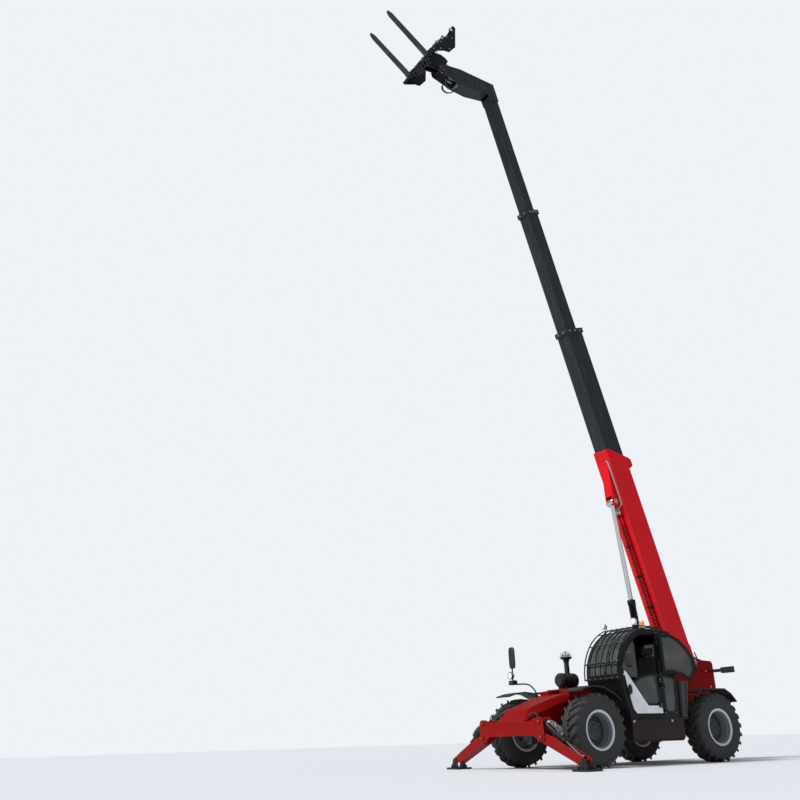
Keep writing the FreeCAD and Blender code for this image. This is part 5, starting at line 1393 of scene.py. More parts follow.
@dataclass
class SeatTrim:
    """Sprung seat: pedestal, bellows, crowned cushions with piped seams, armrests and lever console."""

    x: float = -1.62
    y: float = 0.7
    floor: float = 0.8554
    lean: float = 7.65

    def frame(self, x: float, z: float, lean: float | None = None) -> Matrix:
        """Frame of a cushion's middle, its Z out of the cushion.

        Args:
            x: place from the seat's own middle.
            z: height.
            lean: lean of an upright cushion, none for a flat one.
        Returns:
            The frame.
        """
        at = Matrix.Translation((self.x + x, self.y, z))
        return at if lean is None else at @ Matrix.Rotation(radians(90 - lean), 4, "Y") @ Matrix.Rotation(pi,
            4, "Z")

    def build(self) -> None:
        """Build the seat."""
        # columns: frame, half length, half width, thickness, crown
        cushions = [(self.frame(0.025, 1.18), 0.245, 0.25, 0.098, 0.022),
            (self.frame(-0.262, 1.568, self.lean), 0.338, 0.24, 0.084, 0.024),
            (self.frame(-0.293, 1.992, self.lean), 0.068, 0.13, 0.062, 0.014)]
        soft = Sketch()
        piping = Sketch()
        for at, long, wide, thick, crown in cushions:
            soft.within(at)
            piping.within(at)
            soft.cushion(long, wide, thick, crown)
            piping.loop(long - 0.008, wide - 0.008, thick * 0.86, 0.0042)
            piping.loop(long - 0.06, wide - 0.062, thick + crown * 0.64, 0.0026)
            for v in (-0.34, 0.34):
                piping.tube([(-long * 0.72, wide * v, thick + crown * 0.8),
                    (0, wide * v, thick + crown * 0.93), (long * 0.72, wide * v, thick + crown * 0.8)],
                    0.0022, 6, 4)
        middle = Matrix.Translation((self.x, self.y, 0))
        soft.within(middle)
        for v in (-0.05, 0.05):
            soft.lathe(mm(0, 0, 16, 0, 16, 100, 0, 100), (-0.262, v, 1.865), (-0.13, 0, 1), 14)
        soft.block((-0.18, -0.17, self.floor), (0.2, 0.17, 0.905))
        soft.plate(mm(-175, 1130, 195, 1130, 200, 1180.5, -180, 1180.5), -0.17, 0.17)
        cover = soft.piece("seat_cushions", Paint.VINYL, edge=0.006, replaces=("operator_seat",))
        piping.piece("seat_piping", Paint.GREY_TRIM)
        self.bellows(middle)
        self.arms(middle)

    def bellows(self, middle: Matrix) -> None:
        """Pleated skirt, slide rails and adjuster knob under the cushion.

        Args:
            middle: frame at the seat's middle.
        """
        skirt, rails = Sketch(middle), Sketch(middle)
        rings = []
        for k in range(13):
            grow = 0.0 if k % 2 else 0.012
            rings.append([skirt.vert((px + 0.01, py, 0.9 + 0.0195 * k)) for px,
                py in rounded(0.168 + grow, 0.15 + grow, 9.0, 40)])
        skirt.skin(rings, True)
        skirt.piece("seat_bellows", Paint.PLASTIC)
        for v in (-0.145, 0.145):
            rails.block((-0.2, v - 0.018, 1.1655), (0.23, v + 0.018, 1.1795))
        for v in (-0.12, 0.12):
            rails.bar((0.195, v, 1.16), (0.255, v, 1.155), 0.009, 12, 0.002)
        rails.bar((0.255, -0.12, 1.155), (0.255, 0.12, 1.155), 0.009, 12, 0.002)
        rails.lathe(mm(0, 0, 30, 0, 34, 6, 34, 18, 28, 24, 0, 24), (0.205, 0, 1.01), (1, 0, 0), 24)
        rails.piece("seat_rails", Paint.STEEL, edge=0.002)

    def arms(self, middle: Matrix) -> None:
        """Armrests, the lever console on the right and the belt.

        Args:
            middle: frame at the seat's middle.
        """
        arms, console, lever, belt = Sketch(middle), Sketch(middle), Sketch(middle), Sketch(middle)
        for out in (1, -1):
            arms.plate(mm(-235, 1400, -190, 1382, 130, 1392, 160, 1410, 160, 1428, 130, 1440, -200, 1440,
                -235, 1425), *sorted((out * 0.258, out * 0.318)))
            arms.plate(mm(-255, 1250, -215, 1240, -175, 1385, -225, 1400), out * 0.275 - 0.012,
                out * 0.275 + 0.012)
        arms.piece("seat_arms", Paint.VINYL, edge=0.012)
        console.plate(mm(-150, 855.4, 240, 855.4, 300, 1230, 270, 1290, 60, 1330, -150, 1290), -0.37, -0.275)
        console.piece("lever_console", Paint.PLASTIC, edge=0.014)
        top = (0.19, -0.322, 1.3)
        lever.lathe(mm(0, 0, 40, 0, 36, 12, 30, 16, 33, 24, 24, 32, 26, 40, 16, 50, 10, 54, 0, 54), top,
            (0.05, 0, 1), 24)
        lever.lathe(mm(0, 50, 9, 50, 10, 100, 20, 118, 23, 150, 20, 176, 10, 184, 0, 184), top, (0.05, 0, 1),
            20)
        for k in range(4):
            lever.bar((0.02 + 0.035 * k, -0.322, 1.328), (0.02 + 0.035 * k, -0.322, 1.338), 0.01, 12, 0.002)
        lever.piece("control_lever", Paint.GREY_TRIM)
        belt.block((-0.215, 0.255, 1.17), (-0.12, 0.3, 1.26))
        belt.tube([(-0.165, 0.262, 1.255), (-0.12, 0.2, 1.335), (-0.08, 0.08, 1.325), (-0.085, -0.1, 1.326),
            (-0.125, -0.215, 1.325), (-0.165, -0.262, 1.235)], 0.0065, 8, 6)
        belt.block((-0.18, -0.282, 1.17), (-0.145, -0.258, 1.245))
        belt.piece("seat_belt", Paint.HOSE, edge=0.003)


@dataclass
class DashTrim:
    """Instrument console, steering column and wheel, pedals."""

    x: float = -0.76
    y: float = 0.7

    def build(self) -> None:
        """Build the console and wheel."""
        middle = Matrix.Translation((self.x, self.y, 0))
        console, gaiter, pedals = Sketch(middle), Sketch(middle), Sketch(middle)
        console.plate(mm(-200, 855.4, -110, 855.4, -80, 1000, 13, 1398, -6, 1430, -30, 1450, -80, 1474, -130,
            1489, -160, 1482, -228, 1402, -220, 1300, -205, 1100), -0.3, 0.29)
        centre, foot = Vector((-0.33, 0, 1.56)), Vector((-0.15, 0, 1.38))
        axis, left = Vector((-0.454, 0, 0.891)), Vector((0, 1, 0))
        console.bar(foot, centre, 0.022, 20, 0.002)
        ring = [(0.185 + 0.015 * cos(t), 0.015 * sin(t)) for t in (2 * pi * k / 12 for k in range(12))]
        console.lathe(ring, centre, axis, 56)
        console.lathe(mm(0, -22, 36, -22, 46, -10, 46, 4, 34, 14, 0, 16), centre, axis, 32)
        across = axis.cross(left).normalized()
        for turn in (0.0, pi, -pi / 2):
            way = left * cos(turn) + across * sin(turn)
            console.tube([centre + way * 0.035 - axis * 0.004, centre + way * 0.1 - axis * 0.012,
                centre + way * 0.18], 0.0095, 10, 5)
        console.piece("instrument_console", Paint.PLASTIC, edge=0.01, replaces=("dashboard",))
        gaiter.lathe(mm(0, 0, 62, 0, 56, 14, 50, 16, 53, 28, 42, 34, 44, 46, 34, 54, 26, 90, 0, 90),
            foot + (centre - foot) * 0.22, centre - foot, 28)
        stalk = foot + (centre - foot) * 0.62
        for out in (1, -1):
            gaiter.tube([stalk, stalk + Vector((0.01, out * 0.06, 0.01)),
                stalk + Vector((-0.005, out * 0.15, 0.03))], 0.006, 8, 5)
            gaiter.bar(stalk + Vector((-0.005, out * 0.148, 0.03)), stalk + Vector((-0.01, out * 0.19,
                0.036)), 0.009, 10, 0.003)
        gaiter.piece("column_gaiter", Paint.GREY_TRIM)
        self.dials(middle, left)
        for v in (-0.17, 0.15):
            pedals.plate(mm(-300, 905, -292, 898, -238, 1030, -246, 1036), v - 0.04, v + 0.04)
            pedals.tube([(-0.27, v, 0.965), (-0.225, v, 0.965), (-0.19, v, 0.99)], 0.01, 8, 4)
            for k in range(4):
                x, z = -0.2965 + 0.0115 * k, 0.92 + 0.028 * k
                pedals.bar((x, v - 0.034, z), (x, v + 0.034, z), 0.004, 8)
        pedals.piece("pedals", Paint.STEEL, edge=0.003)

    def dials(self, middle: Matrix, left: Vector) -> None:
        """Three dials on the console's slope.

        Args:
            middle: frame at the console's middle.
            left: the machine's left.
        """
        bezels, faces, hands = Sketch(middle), Sketch(middle), Sketch(middle)
        slope = Vector((-0.76, 0, 0.65)).normalized()
        lift = slope.cross(left).normalized()
        for v, turn in ((-0.11, 0.7), (0.0, 2.2), (0.11, 1.3)):
            spot = Vector((-0.196, v, 1.443))
            bezels.lathe(mm(34, -4, 44, -4, 46, 4, 42, 10, 34, 10), spot, slope, 32)
            faces.lathe(mm(0, 1, 33.5, 1, 33.5, 5, 0, 5), spot, slope, 28)
            spot += slope * 0.0065
            way = left * cos(turn) + lift * sin(turn)
            hands.bar(spot - way * 0.006, spot + way * 0.024, 0.0012, 6)
            for k in range(9):
                tick = left * cos(0.5 * k - 0.4) + lift * sin(0.5 * k - 0.4)
                hands.bar(spot + tick * 0.026, spot + tick * 0.031, 0.0009, 6)
        bezels.piece("dial_bezels", Paint.STEEL)
        faces.piece("dial_faces", Paint.GREY_TRIM)
        hands.piece("dial_hands", Paint.WHITE)


@dataclass
class CabTrim:
    """Seals, wiper, handles and fittings on the cab and its doors."""

    left: float = 1.15
    hinge: tuple[float, float] = (-1.645, 1.185)
    upper_open: float = 176.0
    arc_centre: tuple[float, float] = (-1.5308, 1.5169)
    arc_radius: float = 0.8816

    def screen(self, turn: float, y: float, off: float = 0.0) -> tuple[float, float, float]:
        """A place on the curved windscreen.

        Args:
            turn: turn up from level, in degrees.
            y: place across.
            off: distance off the outside.
        Returns:
            The place.
        """
        r, t = self.arc_radius + off, radians(turn)
        return (self.arc_centre[0] + r * cos(t), y, self.arc_centre[1] + r * sin(t))

    def upper(self) -> Matrix:
        """Turn of the upper door about its hinge, as it stands folded back."""
        pivot = Matrix.Translation((self.hinge[0], self.hinge[1], 0))
        return pivot @ Matrix.Rotation(radians(self.upper_open), 4, "Z") @ pivot.inverted()

    def build(self) -> None:
        """Build the cab's fittings."""
        self.seals()
        self.lower_door()
        self.upper_door()
        self.wiper()
        self.inside()
        self.outside()

    def seals(self) -> None:
        """Rubber seals of the windscreen, roof, rear and quarter windows."""
        seal = Sketch()
        for y in (0.344, 1.086):
            seal.tube([self.screen(t, y, -0.004) for t in (2.6, 12, 24, 36, 48, 60, 70.5)], 0.009, 8, 4)
        for t in (2.6, 70.5):
            seal.bar(self.screen(t, 0.344, -0.004), self.screen(t, 1.086, -0.004), 0.009, 8)
        quarters = [mm(-1726, 1606, -2034, 1567, -2040, 2124, -1930, 2232, -1726, 2244),
            mm(-1726, 906, -1940, 906, -1984, 984, -2024, 1464, -1726, 1524)]
        for outline in quarters:
            self.outline(seal, outline, self.left - 0.001, 0.007)
        seal.piece("window_seals", Paint.HOSE)

    def outline(self, sketch: Sketch, places: Sequence[tuple[float, float]], y: float, radius: float) -> None:
        """Run a bead along each side of an outline.

        Args:
            sketch: the sketch to add to.
            places: corners, x from the front axle and z.
            y: place across.
            radius: the bead's radius.
        """
        for (x0, z0), (x1, z1) in zip(places, [*places[1:], places[0]]):
            sketch.bar((x0, y, z0), (x1, y, z1), radius, 8)

    def lower_door(self) -> None:
        """Handle, lock, seal and hinge pins of the lower door."""
        seal = Sketch()
        self.outline(seal, mm(-990, 1391, -1180, 1480, -1420, 1525, -1570, 1520, -1570, 1045, -1268, 1045),
            self.left - 0.004, 0.007)
        seal.piece("lower_door_seal", Paint.HOSE, "lower_door")
        x, z, face = -0.842, 1.28, self.left + 0.0145
        handle = Sketch()
        turns = [2 * pi * k / 32 for k in range(32)]
        handle.plate([(x + 0.054 * cos(t), z + 0.092 * sin(t)) for t in turns], face, face + 0.007)
        handle.plate([(x + 0.045 * cos(t), z + 0.081 * sin(t)) for t in turns], face + 0.006, face + 0.012)
        handle.block((x - 0.014, face + 0.014, z - 0.06), (x + 0.014, face + 0.024, z + 0.056))
        for end in (z + 0.044, z - 0.048):
            handle.bar((x, face + 0.01, end), (x, face + 0.018, end), 0.008, 10)
        handle.piece("door_handle", Paint.PLASTIC, "lower_door", 0.004)
        lock = Sketch()
        lock.lathe(mm(0, 0, 9, 0, 9, 4, 6, 6, 0, 6), (x, face + 0.012, z - 0.069), (0, 1, 0), 20)
        for hz in (0.99, 1.03, 1.42, 1.46):
            reach = 0.095 if hz < 1.2 else 0.045
            lock.bolt((self.hinge[0] + reach, self.hinge[1] + 0.008, hz), (0, 1, 0), 0.008)
        for hz in (0.95, 1.38):
            lock.bar((self.hinge[0], self.hinge[1], hz - 0.066), (self.hinge[0], self.hinge[1], hz - 0.0605),
                0.017, 12, 0.002)
        lock.piece("lower_door_bolts", Paint.ZINC, "lower_door")

    def upper_door(self) -> None:
        """Seal, latch and hinge bolts of the folded upper door."""
        seal, latch, bolts = Sketch(self.upper()), Sketch(self.upper()), Sketch(self.upper())
        places = mm(-866, 1648, -988, 1493, -1190, 1587, -1420, 1629, -1568, 1624, -1568, 2208, -1347, 2208,
            -1169, 2133, -977, 1962, -882, 1808)
        for y in (self.left - 0.004, self.left - 0.027):
            self.outline(seal, places, y, 0.0065)
        seal.piece("upper_door_seal", Paint.HOSE, "upper_door")
        x = -0.835
        latch.plate([(x - 0.02, 1.68), (x + 0.018, 1.69), (x + 0.008, 1.77), (x - 0.026, 1.76)],
            self.left - 0.05, self.left - 0.0305)
        latch.tube([(x - 0.005, self.left - 0.045, 1.7), (x - 0.012, self.left - 0.08, 1.705),
            (x - 0.016, self.left - 0.08, 1.77), (x - 0.012, self.left - 0.048, 1.768)], 0.007, 8, 5)
        latch.piece("upper_door_latch", Paint.PLASTIC, "upper_door", 0.003)
        for hz in (1.715, 1.745, 2.155, 2.185):
            bolts.bolt((self.hinge[0] + 0.045, self.hinge[1] + 0.008, hz), (0, 1, 0), 0.008)
        bolts.piece("upper_door_bolts", Paint.ZINC, "upper_door")

    def wiper(self) -> None:
        """Arm, blade and spindle of the windscreen wiper."""
        arm = Sketch()
        y = 0.76
        arm.lathe(mm(0, -10, 20, -10, 22, 4, 14, 16, 0, 18), self.screen(4, y, 0.0), (1, 0, 0.1), 20)
        arm.tube([self.screen(4, y, 0.016), self.screen(12, y + 0.03, 0.022), self.screen(22, y + 0.07, 0.02),
            self.screen(30, y + 0.1, 0.014)], 0.0055, 8, 6)
        arm.tube([self.screen(t, y + 0.1 + (t - 30) * 0.0006, 0.007) for t in (12, 20, 30, 40, 48)], 0.005, 8,
            5)
        arm.piece("wiper", Paint.PLASTIC)

    def inside(self) -> None:
        """Headlining, sun blind, grab handles and rear-view glass inside the cab."""
        lining, grab = Sketch(), Sketch()
        for near, far in ((0.332, 0.4), (1.0, 1.08)):
            lining.plate(mm(-1850, 2290, -1320, 2296, -1320, 2278, -1850, 2270), near, far)
        lining.bar(self.screen(66, 0.36, -0.06), self.screen(66, 1.06, -0.06), 0.024, 20, 0.003)
        lining.piece("headlining", Paint.GREY_TRIM, edge=0.006)
        for end, far in ((1.07, 1.062), (0.345, 0.36)):
            grab.tube([self.screen(22, end, -0.05), self.screen(24, far, -0.085),
                self.screen(34, far, -0.088), self.screen(44, far, -0.085), self.screen(46, end, -0.05)],
                0.012, 10, 6)
        grab.piece("cab_grab_handles", Paint.PLASTIC)
        glass = Sketch()
        middle = Vector(self.screen(58, 0.7, -0.11))
        glass.block((middle.x - 0.01, 0.6, middle.z - 0.04), (middle.x + 0.01, 0.8, middle.z + 0.04))
        glass.tube([middle + Vector((0.006, 0, 0.03)), middle + Vector((0.03, 0, 0.06)),
            Vector(self.screen(60, 0.7, -0.05))], 0.006, 8, 4)
        glass.piece("inside_mirror", Paint.PLASTIC, edge=0.008)

    def outside(self) -> None:
        """Side indicator, guard clamps and screws round the cab's outside."""
        Sketch().lathe(mm(0, 0, 20, 0, 19, 12, 12, 20, 0, 22), (-0.75, self.left + 0.0003, 1.54), (0, 1, 0),
            24).piece("side_repeater", Paint.LENS)
        clamps = Sketch()
        for turn in (-1.6, 15.9, 39.6, 62.0):
            for k in range(7):
                y = 0.288 + 0.854 * k / 6
                clamps.bolt(self.screen(turn, y, 0.0632), Vector((cos(radians(turn)), 0, sin(radians(turn)))),
                    0.007)
        for hx, hz in mm(-1700, 2300, -1900, 2280, -1690, 1560, -1690, 875, -1960, 875, -2060, 1520):
            clamps.bolt((hx, self.left, hz), (0, 1, 0), 0.007)
        clamps.piece("guard_screws", Paint.STEEL)


@dataclass
class MirrorTrim:
    """Mirrors, headlamp and lamp heads with the tubes that carry them."""

    def build(self) -> None:
        """Build the heads and their glass."""
        self.arms()
        self.glass()
        self.rear_lamps()

    def arms(self) -> None:
        """Tubes, housings and brackets that stand for the plain heads."""
        y = -1.11
        arms, stem = Sketch(), Sketch()
        stem.tube([(0.02, -0.414, 1.05), (0.02, -0.42, 1.2), (0.02, -0.433, 1.335), (0.01, -0.64, 1.47),
            (0, -1.0, 1.5), (0, -1.096, 1.508), (0, y, 1.53), (0, y, 1.66), (0, y, 1.805)], 0.014, 14, 6)
        stem.piece("mirror_stem", Paint.BLACK)
        arms.block((-0.025, -0.42, 1.005), (0.065, -0.4003, 1.075))
        arms.plate(mm(-60, 1492, 60, 1492, 60, 1560, 45, 1578, -45, 1578, -60, 1560), y - 0.07, y + 0.06)
        self.housing(arms, -0.01, y - 0.005, 2.005, 0.09, 0.205, 0.02)
        self.housing(arms, -0.7475, 1.305, 1.79, 0.085, 0.14, 0.0175)
        arms.tube([(-0.745, v, 1.78) for v in (1.1503, 1.19, 1.235)], 0.012, 12, 3)
        for out in (1, -1):
            near, far = sorted((out * 0.3503, out * 0.92))
            arms.block((-4.075, near, 1.67), (-4.035, far, 1.73))
            arms.plate(mm(-4092, 1640, -4020, 1646, -4020, 1754, -4092, 1760),
                *sorted((out * 0.62, out * 0.91)))
        arms.piece("mirror_arms", Paint.PLASTIC, edge=0.004, replaces=("mirrors",))
        centre = (-0.03, y - 0.01, 1.665)
        Sketch().lathe(mm(0, 0, 30, 0, 55, 18, 67, 50, 70, 85, 70, 100, 63.5, 100, 62.5, 90, 0, 90), centre,
            (1, 0, 0), 36).piece("headlamp", Paint.CHROME)
        Sketch().lathe(mm(0, 90.5, 62, 90.5, 61.8, 96, 45, 103, 20, 107, 0, 108), centre, (1, 0, 0),
            32).piece("headlamp_lens", Paint.LENS)
        # columns: name, front face, edges across
        for name, face, near, far in (("front_indicator", 0.068, y - 0.058, y - 0.008),
                ("side_light", 0.066, y, y + 0.05)):
            Sketch().plate([(0.0602, 1.512), (face, 1.516), (face, 1.556), (0.0602, 1.56)], near,
                far).piece(name, Paint.GREY_TRIM, edge=0.003)

    def housing(self, sketch: Sketch, x: float, y: float, z: float, half_y: float, half_z: float,
            half_x: float) -> None:
        """Add a rounded mirror back, domed to the front.

        Args:
            sketch: the sketch to add to.
            x: middle of its depth.
            y: middle across.
            z: middle height.
            half_y: half its width.
            half_z: half its height.
            half_x: half its depth.
        """
        rings = []
        for off, inset in ((-1.0, 0.01), (-0.7, 0.0), (-0.1, 0.0), (0.4, 0.006), (0.8, 0.02), (1.0, 0.04)):
            rings.append([sketch.vert((x + off * half_x, y + py, z + pz)) for py,
                pz in rounded(half_y - inset, half_z - inset, 5.0, 36)])
        sketch.skin(rings, True)

    def glass(self) -> None:
        """Mirror glass on both heads, facing back."""
        glass = Sketch()
        for x, y, z, half_y, half_z, depth in ((-0.01, -1.115, 2.005, 0.074, 0.188, 0.02),
                (-0.7475, 1.305, 1.79, 0.069, 0.124, 0.0175)):
            rings = [[glass.vert((x - depth - off, y + py, z + pz)) for py,
                pz in rounded(half_y - cut, half_z - cut, 5.0, 36)] for off,
                cut in ((-0.0002, 0.0), (0.0018, 0.001), (0.0024, 0.003))]
            glass.skin(rings, True)
        glass.piece("mirror_glass", Paint.MIRROR)

    def rear_lamps(self) -> None:
        """Red, amber and white lenses of the rear lamps."""
        x = -4.092
        # columns: name, finish, nearer and further edge across
        for name, paint, near, far in (("tail_lens", Paint.RUBY, 0.72, 0.815),
                ("tail_indicator", Paint.AMBER, 0.82, 0.9), ("reverse_lens", Paint.LENS, 0.632, 0.715)):
            lens = Sketch()
            for out in (1, -1):
                lens.plate([(x - 0.012, 1.656), (x - 0.0003, 1.65), (x - 0.0003, 1.75), (x - 0.012, 1.744)],
                    *sorted((out * near, out * far)))
            lens.piece(name, paint, edge=0.004)
        screws = Sketch()
        for out in (1, -1):
            for y in (0.64, 0.89):
                screws.bolt((-4.02, out * y, 1.7), (1, 0, 0), 0.006)
        screws.piece("lamp_screws", Paint.ZINC)


@dataclass
class RoofLampTrim:
    """Two work lamps and the flashing beacon on the roof guard."""

    lamps: tuple[float, float] = (0.31, 1.12)
    lamp_x: float = -1.245
    lamp_z: float = 2.495
    radius: float = 0.058
    beacon: tuple[float, float] = (-1.56, 0.96)
    base: float = 2.4006

    def build(self) -> None:
        """Build the lamps."""
        shells, lenses, feet = Sketch(), Sketch(), Sketch()
        x = self.lamp_x
        for y in self.lamps:
            r = self.radius
            shells.lathe([(0.0, 0.0), (r * 0.45, 0.0), (r * 0.8, 0.016), (r * 0.97, 0.04), (r, 0.062),
                (r, 0.0845), (r - 0.007, 0.0845), (r - 0.009, 0.07), (0.0, 0.07)], (x, y, self.lamp_z),
                (1, 0, 0), 36)
            shells.block((x + 0.012, y - 0.032, 2.432), (x + 0.048, y + 0.032, 2.452))
            shells.bar((x + 0.03, y, 2.4435), (x + 0.03, y, 2.46), 0.01, 12, 0.001)
            lenses.lathe([(0.0, 0.0705), (r - 0.0095, 0.0705), (r - 0.009, 0.078), (r * 0.55, 0.086),
                (0.0, 0.089)], (x, y, self.lamp_z), (1, 0, 0), 32)
            for out in (1, -1):
                side = y + out * (r + 0.004)
                feet.block((x + 0.02, side - 0.002, 2.436), (x + 0.04, side + 0.002, 2.505))
                feet.bolt((x + 0.03, y + out * (r + 0.006), 2.495), (0, out, 0), 0.008)
        bx, by = self.beacon[0], self.beacon[1]
        shells.lathe(mm(0, 4, 62, 4, 62, 30, 54, 44.5, 0, 44.5), (bx, by, self.base), (0, 0, 1), 36)
        shells.piece("roof_lamp_shells", Paint.WHITE, edge=0.001, replaces=("roof_lamps",))
        lenses.piece("roof_lamp_lenses", Paint.LENS)
        feet.piece("roof_lamp_brackets", Paint.BLACK)
        dome = Sketch()
        profile = mm(0, 45, 49, 45, 50, 50)
        profile += [(0.05 - 0.0018 * (k % 2), 0.05 + 0.008 * k) for k in range(1, 8)]
        profile += mm(46, 116, 36, 130, 18, 138, 0, 139.5)
        dome.lathe(profile, (bx, by, self.base), (0, 0, 1), 40)
        dome.piece("beacon_dome", Paint.AMBER)


@dataclass
class ChassisTrim:
    """Bolts, steps, caps, straps, lines and the tow pin on the chassis."""

    plate: float = 0.35
    tower_hoses: tuple[float, ...] = (-0.2, -0.12, -0.04, 0.06, 0.15)

    def build(self) -> None:
        """Build the chassis fittings."""
        self.side_box()
        self.tank()
        self.tower()
        self.underside()

    def side_box(self) -> None:
        """Bolts and door step on the left side box."""
        x0, x1, face = -2.14, -0.82, 1.14
        trim = Sketch()
        for x in (x0 + 0.3, x1 - 0.05):
            trim.bolt((x, face, 0.742), (0, 1, 0), 0.014)
        trim.piece("side_box_bolts", Paint.WHITE)
        step = Sketch()
        step.block((-1.6, 1.1405, 0.7655), (-1.0, 1.168, 0.7795))
        for k in range(12):
            step.bar((-1.58 + 0.051 * k, 1.143, 0.781), (-1.58 + 0.051 * k, 1.166, 0.781), 0.004, 6)
        step.piece("door_step", Paint.BLACK, edge=0.002)

    def tank(self) -> None:
        """Cap and straps of the tank behind the cab."""
        x, y, top = -2.285, 0.9, 1.4405
        cap = Sketch()
        cap.lathe(mm(0, 0, 62, 0, 62, 12, 52, 14, 52, 34, 44, 42, 0, 42), (x, y, top), (0, 0, 1), 36)
        for k in range(14):
            turn = 2 * pi * k / 14
            rib = Vector((x + 0.052 * cos(turn), y + 0.052 * sin(turn), top + 0.015))
            cap.bar(rib, rib + Vector((0, 0, 0.018)), 0.003, 6)
        cap.piece("tank_cap", Paint.PLASTIC)
        strap = Sketch()
        for low, high in ((-2.275, -2.365), (-2.19, -2.225)):
            strap.plate([(low, 0.85), (low + 0.03, 0.85), (high + 0.03, 1.405), (high, 1.405)], 1.1203,
                1.1235)
        strap.piece("tank_straps", Paint.BLACK, edge=0.002)

    def tower(self) -> None:
        """Hoses over the boom foot, bolts of the tower and the tow pin."""
        hoses = Sketch()
        for k, v in enumerate(self.tower_hoses):
            lift = 0.012 * (k % 3)
            hoses.tube([(-3.7, v, 1.33 - lift), (-3.752 - lift * 0.2, v, 1.47),
                (-3.845 - lift, v * 1.03, 1.62), (-3.905 - lift, v * 1.03, 1.79),
                (-3.93 - lift, v * 0.9, 1.96), (-3.89 - lift, v * 0.8, 2.1)], 0.0125, 10, 6)
        hoses.piece("tower_hoses", Paint.HOSE)
        bolts = Sketch()
        for out in (1, -1):
            for x, z in mm(-3300, 1780, -3300, 1560, -3980, 1400, -3980, 1150, -2600, 1060, -3900, 1700, -460,
                    930, -300, 930, -460, 760, 150, 930, 150, 790):
                bolts.bolt((x, out * self.plate, z), (0, out, 0), 0.014)
            for k in range(8):
                turn = 2 * pi * k / 8
                bolts.bolt((-3.55 + 0.095 * cos(turn), out * (self.plate + 0.022), 1.87 + 0.095 * sin(turn)),
                    (0, out, 0), 0.009)
        bolts.piece("frame_bolts", Paint.ZINC)
        pin = Sketch()
        pin.bar((-4.205, 0, 0.745), (-4.205, 0, 0.905), 0.016, 20, 0.002)
        pin.lathe(mm(0, 0, 26, 0, 28, 6, 24, 14, 0, 14), (-4.205, 0, 0.9), (0, 0, 1), 24)
        pin.tube([(-4.205, 0.012, 0.914), (-4.225, 0.016, 0.95), (-4.205, 0.0, 0.966), (-4.185, -0.016, 0.95),
            (-4.205, -0.012, 0.914)], 0.004, 8, 5)
        pin.piece("tow_pin", Paint.STEEL)

    def underside(self) -> None:
        """Axle pad bolts and brake lines below."""
        bolts, lines = Sketch(), Sketch()
        for _, x in ENDS:
            for out in (1, -1):
                for dx in (-0.065, 0.065):
                    for dy in (0.285, 0.325):
                        bolts.bolt((x + dx, out * dy, 0.611), (0, 0, -1), 0.012)
                lines.tube([(x - 0.09, out * 0.18, 0.74), (x - 0.1, out * 0.3, 0.7),
                    (x - 0.11, out * 0.42, 0.715), (x - 0.09, out * 0.56, 0.7),
                    (x - 0.06, out * 0.625, 0.68)], 0.006, 8, 6)
        bolts.piece("axle_bolts", Paint.ZINC)
        lines.piece("brake_lines", Paint.HOSE)


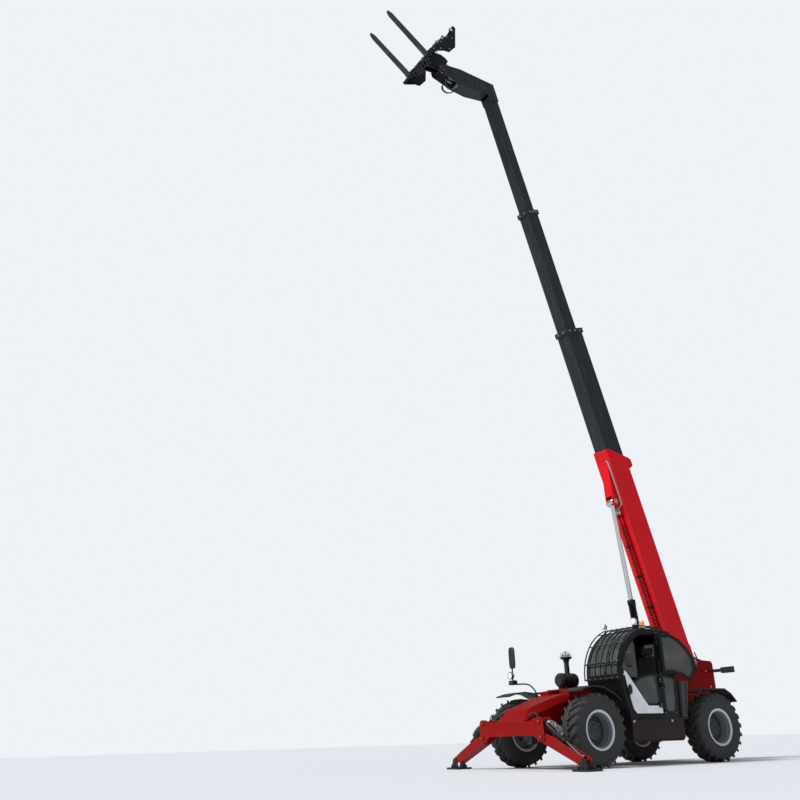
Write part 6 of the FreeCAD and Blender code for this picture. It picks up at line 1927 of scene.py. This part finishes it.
@dataclass
class Studio:
    """Camera, floor and soft light."""

    camera_place: tuple[float, float, float] = (11.211, 12.941, 0.532)
    camera_right: tuple[float, float, float] = (-0.8534, 0.5205, -0.0273)
    camera_up: tuple[float, float, float] = (0.1696, 0.3269, 0.9297)
    lens: float = 38.84

    def camera(self) -> None:
        """Stand the camera where the photograph was taken from."""
        data = bpy.data.cameras.new("view")
        data.lens = self.lens
        data.sensor_width = 36.0
        data.clip_end = 200.0
        right, up = Vector(self.camera_right).normalized(), Vector(self.camera_up)
        back = right.cross(up).normalized()
        up = back.cross(right)
        turn = Matrix((right, up, back)).transposed().to_4x4()
        made = bpy.data.objects.new("view", data)
        made.matrix_world = FRONT @ Matrix.Translation(self.camera_place) @ turn
        bpy.context.scene.collection.objects.link(made)
        bpy.context.scene.camera = made

    def floor(self) -> None:
        """Lay the pale floor."""
        data = bpy.data.meshes.new("floor")
        size = 90.0
        data.from_pydata([(-size, -size, 0), (size, -size, 0), (size, size, 0), (-size, size, 0)], [],
            [(0, 1, 2, 3)])
        made = bpy.data.objects.new("floor", data)
        bench = FinishBench("floor_finish")
        bench.feed("Base Color", (0.72, 0.73, 0.75))
        bench.feed("Roughness", 0.85)
        data.materials.append(bench.material)
        bpy.context.scene.collection.objects.link(made)

    def light(self) -> None:
        """Hang a soft key, a soft fill and a pale surround."""
        # columns: name, strength, softness in degrees, direction the light travels
        for name, strength, softness, way in (("key", 3.3, 18, (-0.72, 0.1, -0.68)),
                ("fill", 0.28, 60, (-0.2, -0.8, -0.35))):
            data = bpy.data.lights.new(name, "SUN")
            data.energy = strength
            data.angle = radians(softness)
            made = bpy.data.objects.new(name, data)
            made.rotation_euler = Vector(way).to_track_quat("-Z", "Y").to_euler()
            bpy.context.scene.collection.objects.link(made)
        world = bpy.data.worlds.new("surround")
        world.use_nodes = True
        bpy.context.scene.world = world
        nodes, links = world.node_tree.nodes, world.node_tree.links
        nodes.clear()
        path = nodes.new("ShaderNodeLightPath")
        seen = nodes.new("ShaderNodeMath")
        seen.operation = "MAXIMUM"
        links.new(path.outputs["Is Camera Ray"], seen.inputs[0])
        links.new(path.outputs["Is Transmission Ray"], seen.inputs[1])
        mix, out = nodes.new("ShaderNodeMixShader"), nodes.new("ShaderNodeOutputWorld")
        links.new(seen.outputs[0], mix.inputs[0])
        # columns: socket of the mix, colour, strength
        for socket, colour, strength in ((1, (0.8, 0.86, 0.95, 1), 0.44), (2, (0.86, 0.89, 0.93, 1), 1.0)):
            sky = nodes.new("ShaderNodeBackground")
            sky.inputs[0].default_value = colour
            sky.inputs[1].default_value = strength
            links.new(sky.outputs[0], mix.inputs[socket])
        links.new(mix.outputs[0], out.inputs[0])


def main() -> None:
    """Load the frame, dress it, add the fittings and set the studio."""
    logging.basicConfig(level=logging.INFO, format="%(name)s: %(message)s")
    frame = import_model()
    CarriedPieces().dress(frame["nodes"])
    leg_out, leg_in = 1.67, 0.8
    sub_assemblies: list[Any] = [WheelTrim(), TyreTrim(), BoomTrim(), HeadTrim(), CarriageTrim(),
        StabiliserTrim(), EngineTrim(), SeatTrim(), DashTrim(), CabTrim(), MirrorTrim(), RoofLampTrim(),
        ChassisTrim(), CylinderTrim("lift", (-2.6, 0, 0.75), BOOM @ Vector((3.55, 0, -0.42)), 0.075, 2.37,
        0.045, "lift_barrel", (0, 1, 0), -1), CylinderTrim("tilt", BOOM @ Vector((13.68, 0, -0.26)),
        BOOM @ Vector((14.4309, 0, -1.1795)), 0.06, 0.82, 0.028, "tilt_barrel", (0, 1, 0))]
    for side, out in SIDES:
        x = 0.93
        sub_assemblies.append(CylinderTrim(f"{side}_leg_ram", (x, out * leg_in, 0.78),
            (x, out * leg_out, 0.22), 0.045, 0.6, 0.022, f"{side}_leg_barrel", (1, 0, 0), out, Paint.BLACK))
    for sub_assembly in sub_assemblies:
        sub_assembly.build()
    studio = Studio()
    studio.camera()
    studio.floor()
    studio.light()
    bpy.context.scene.view_settings.view_transform = "Standard"
    LOG.info("done")


if __name__ == "__main__":
    main()
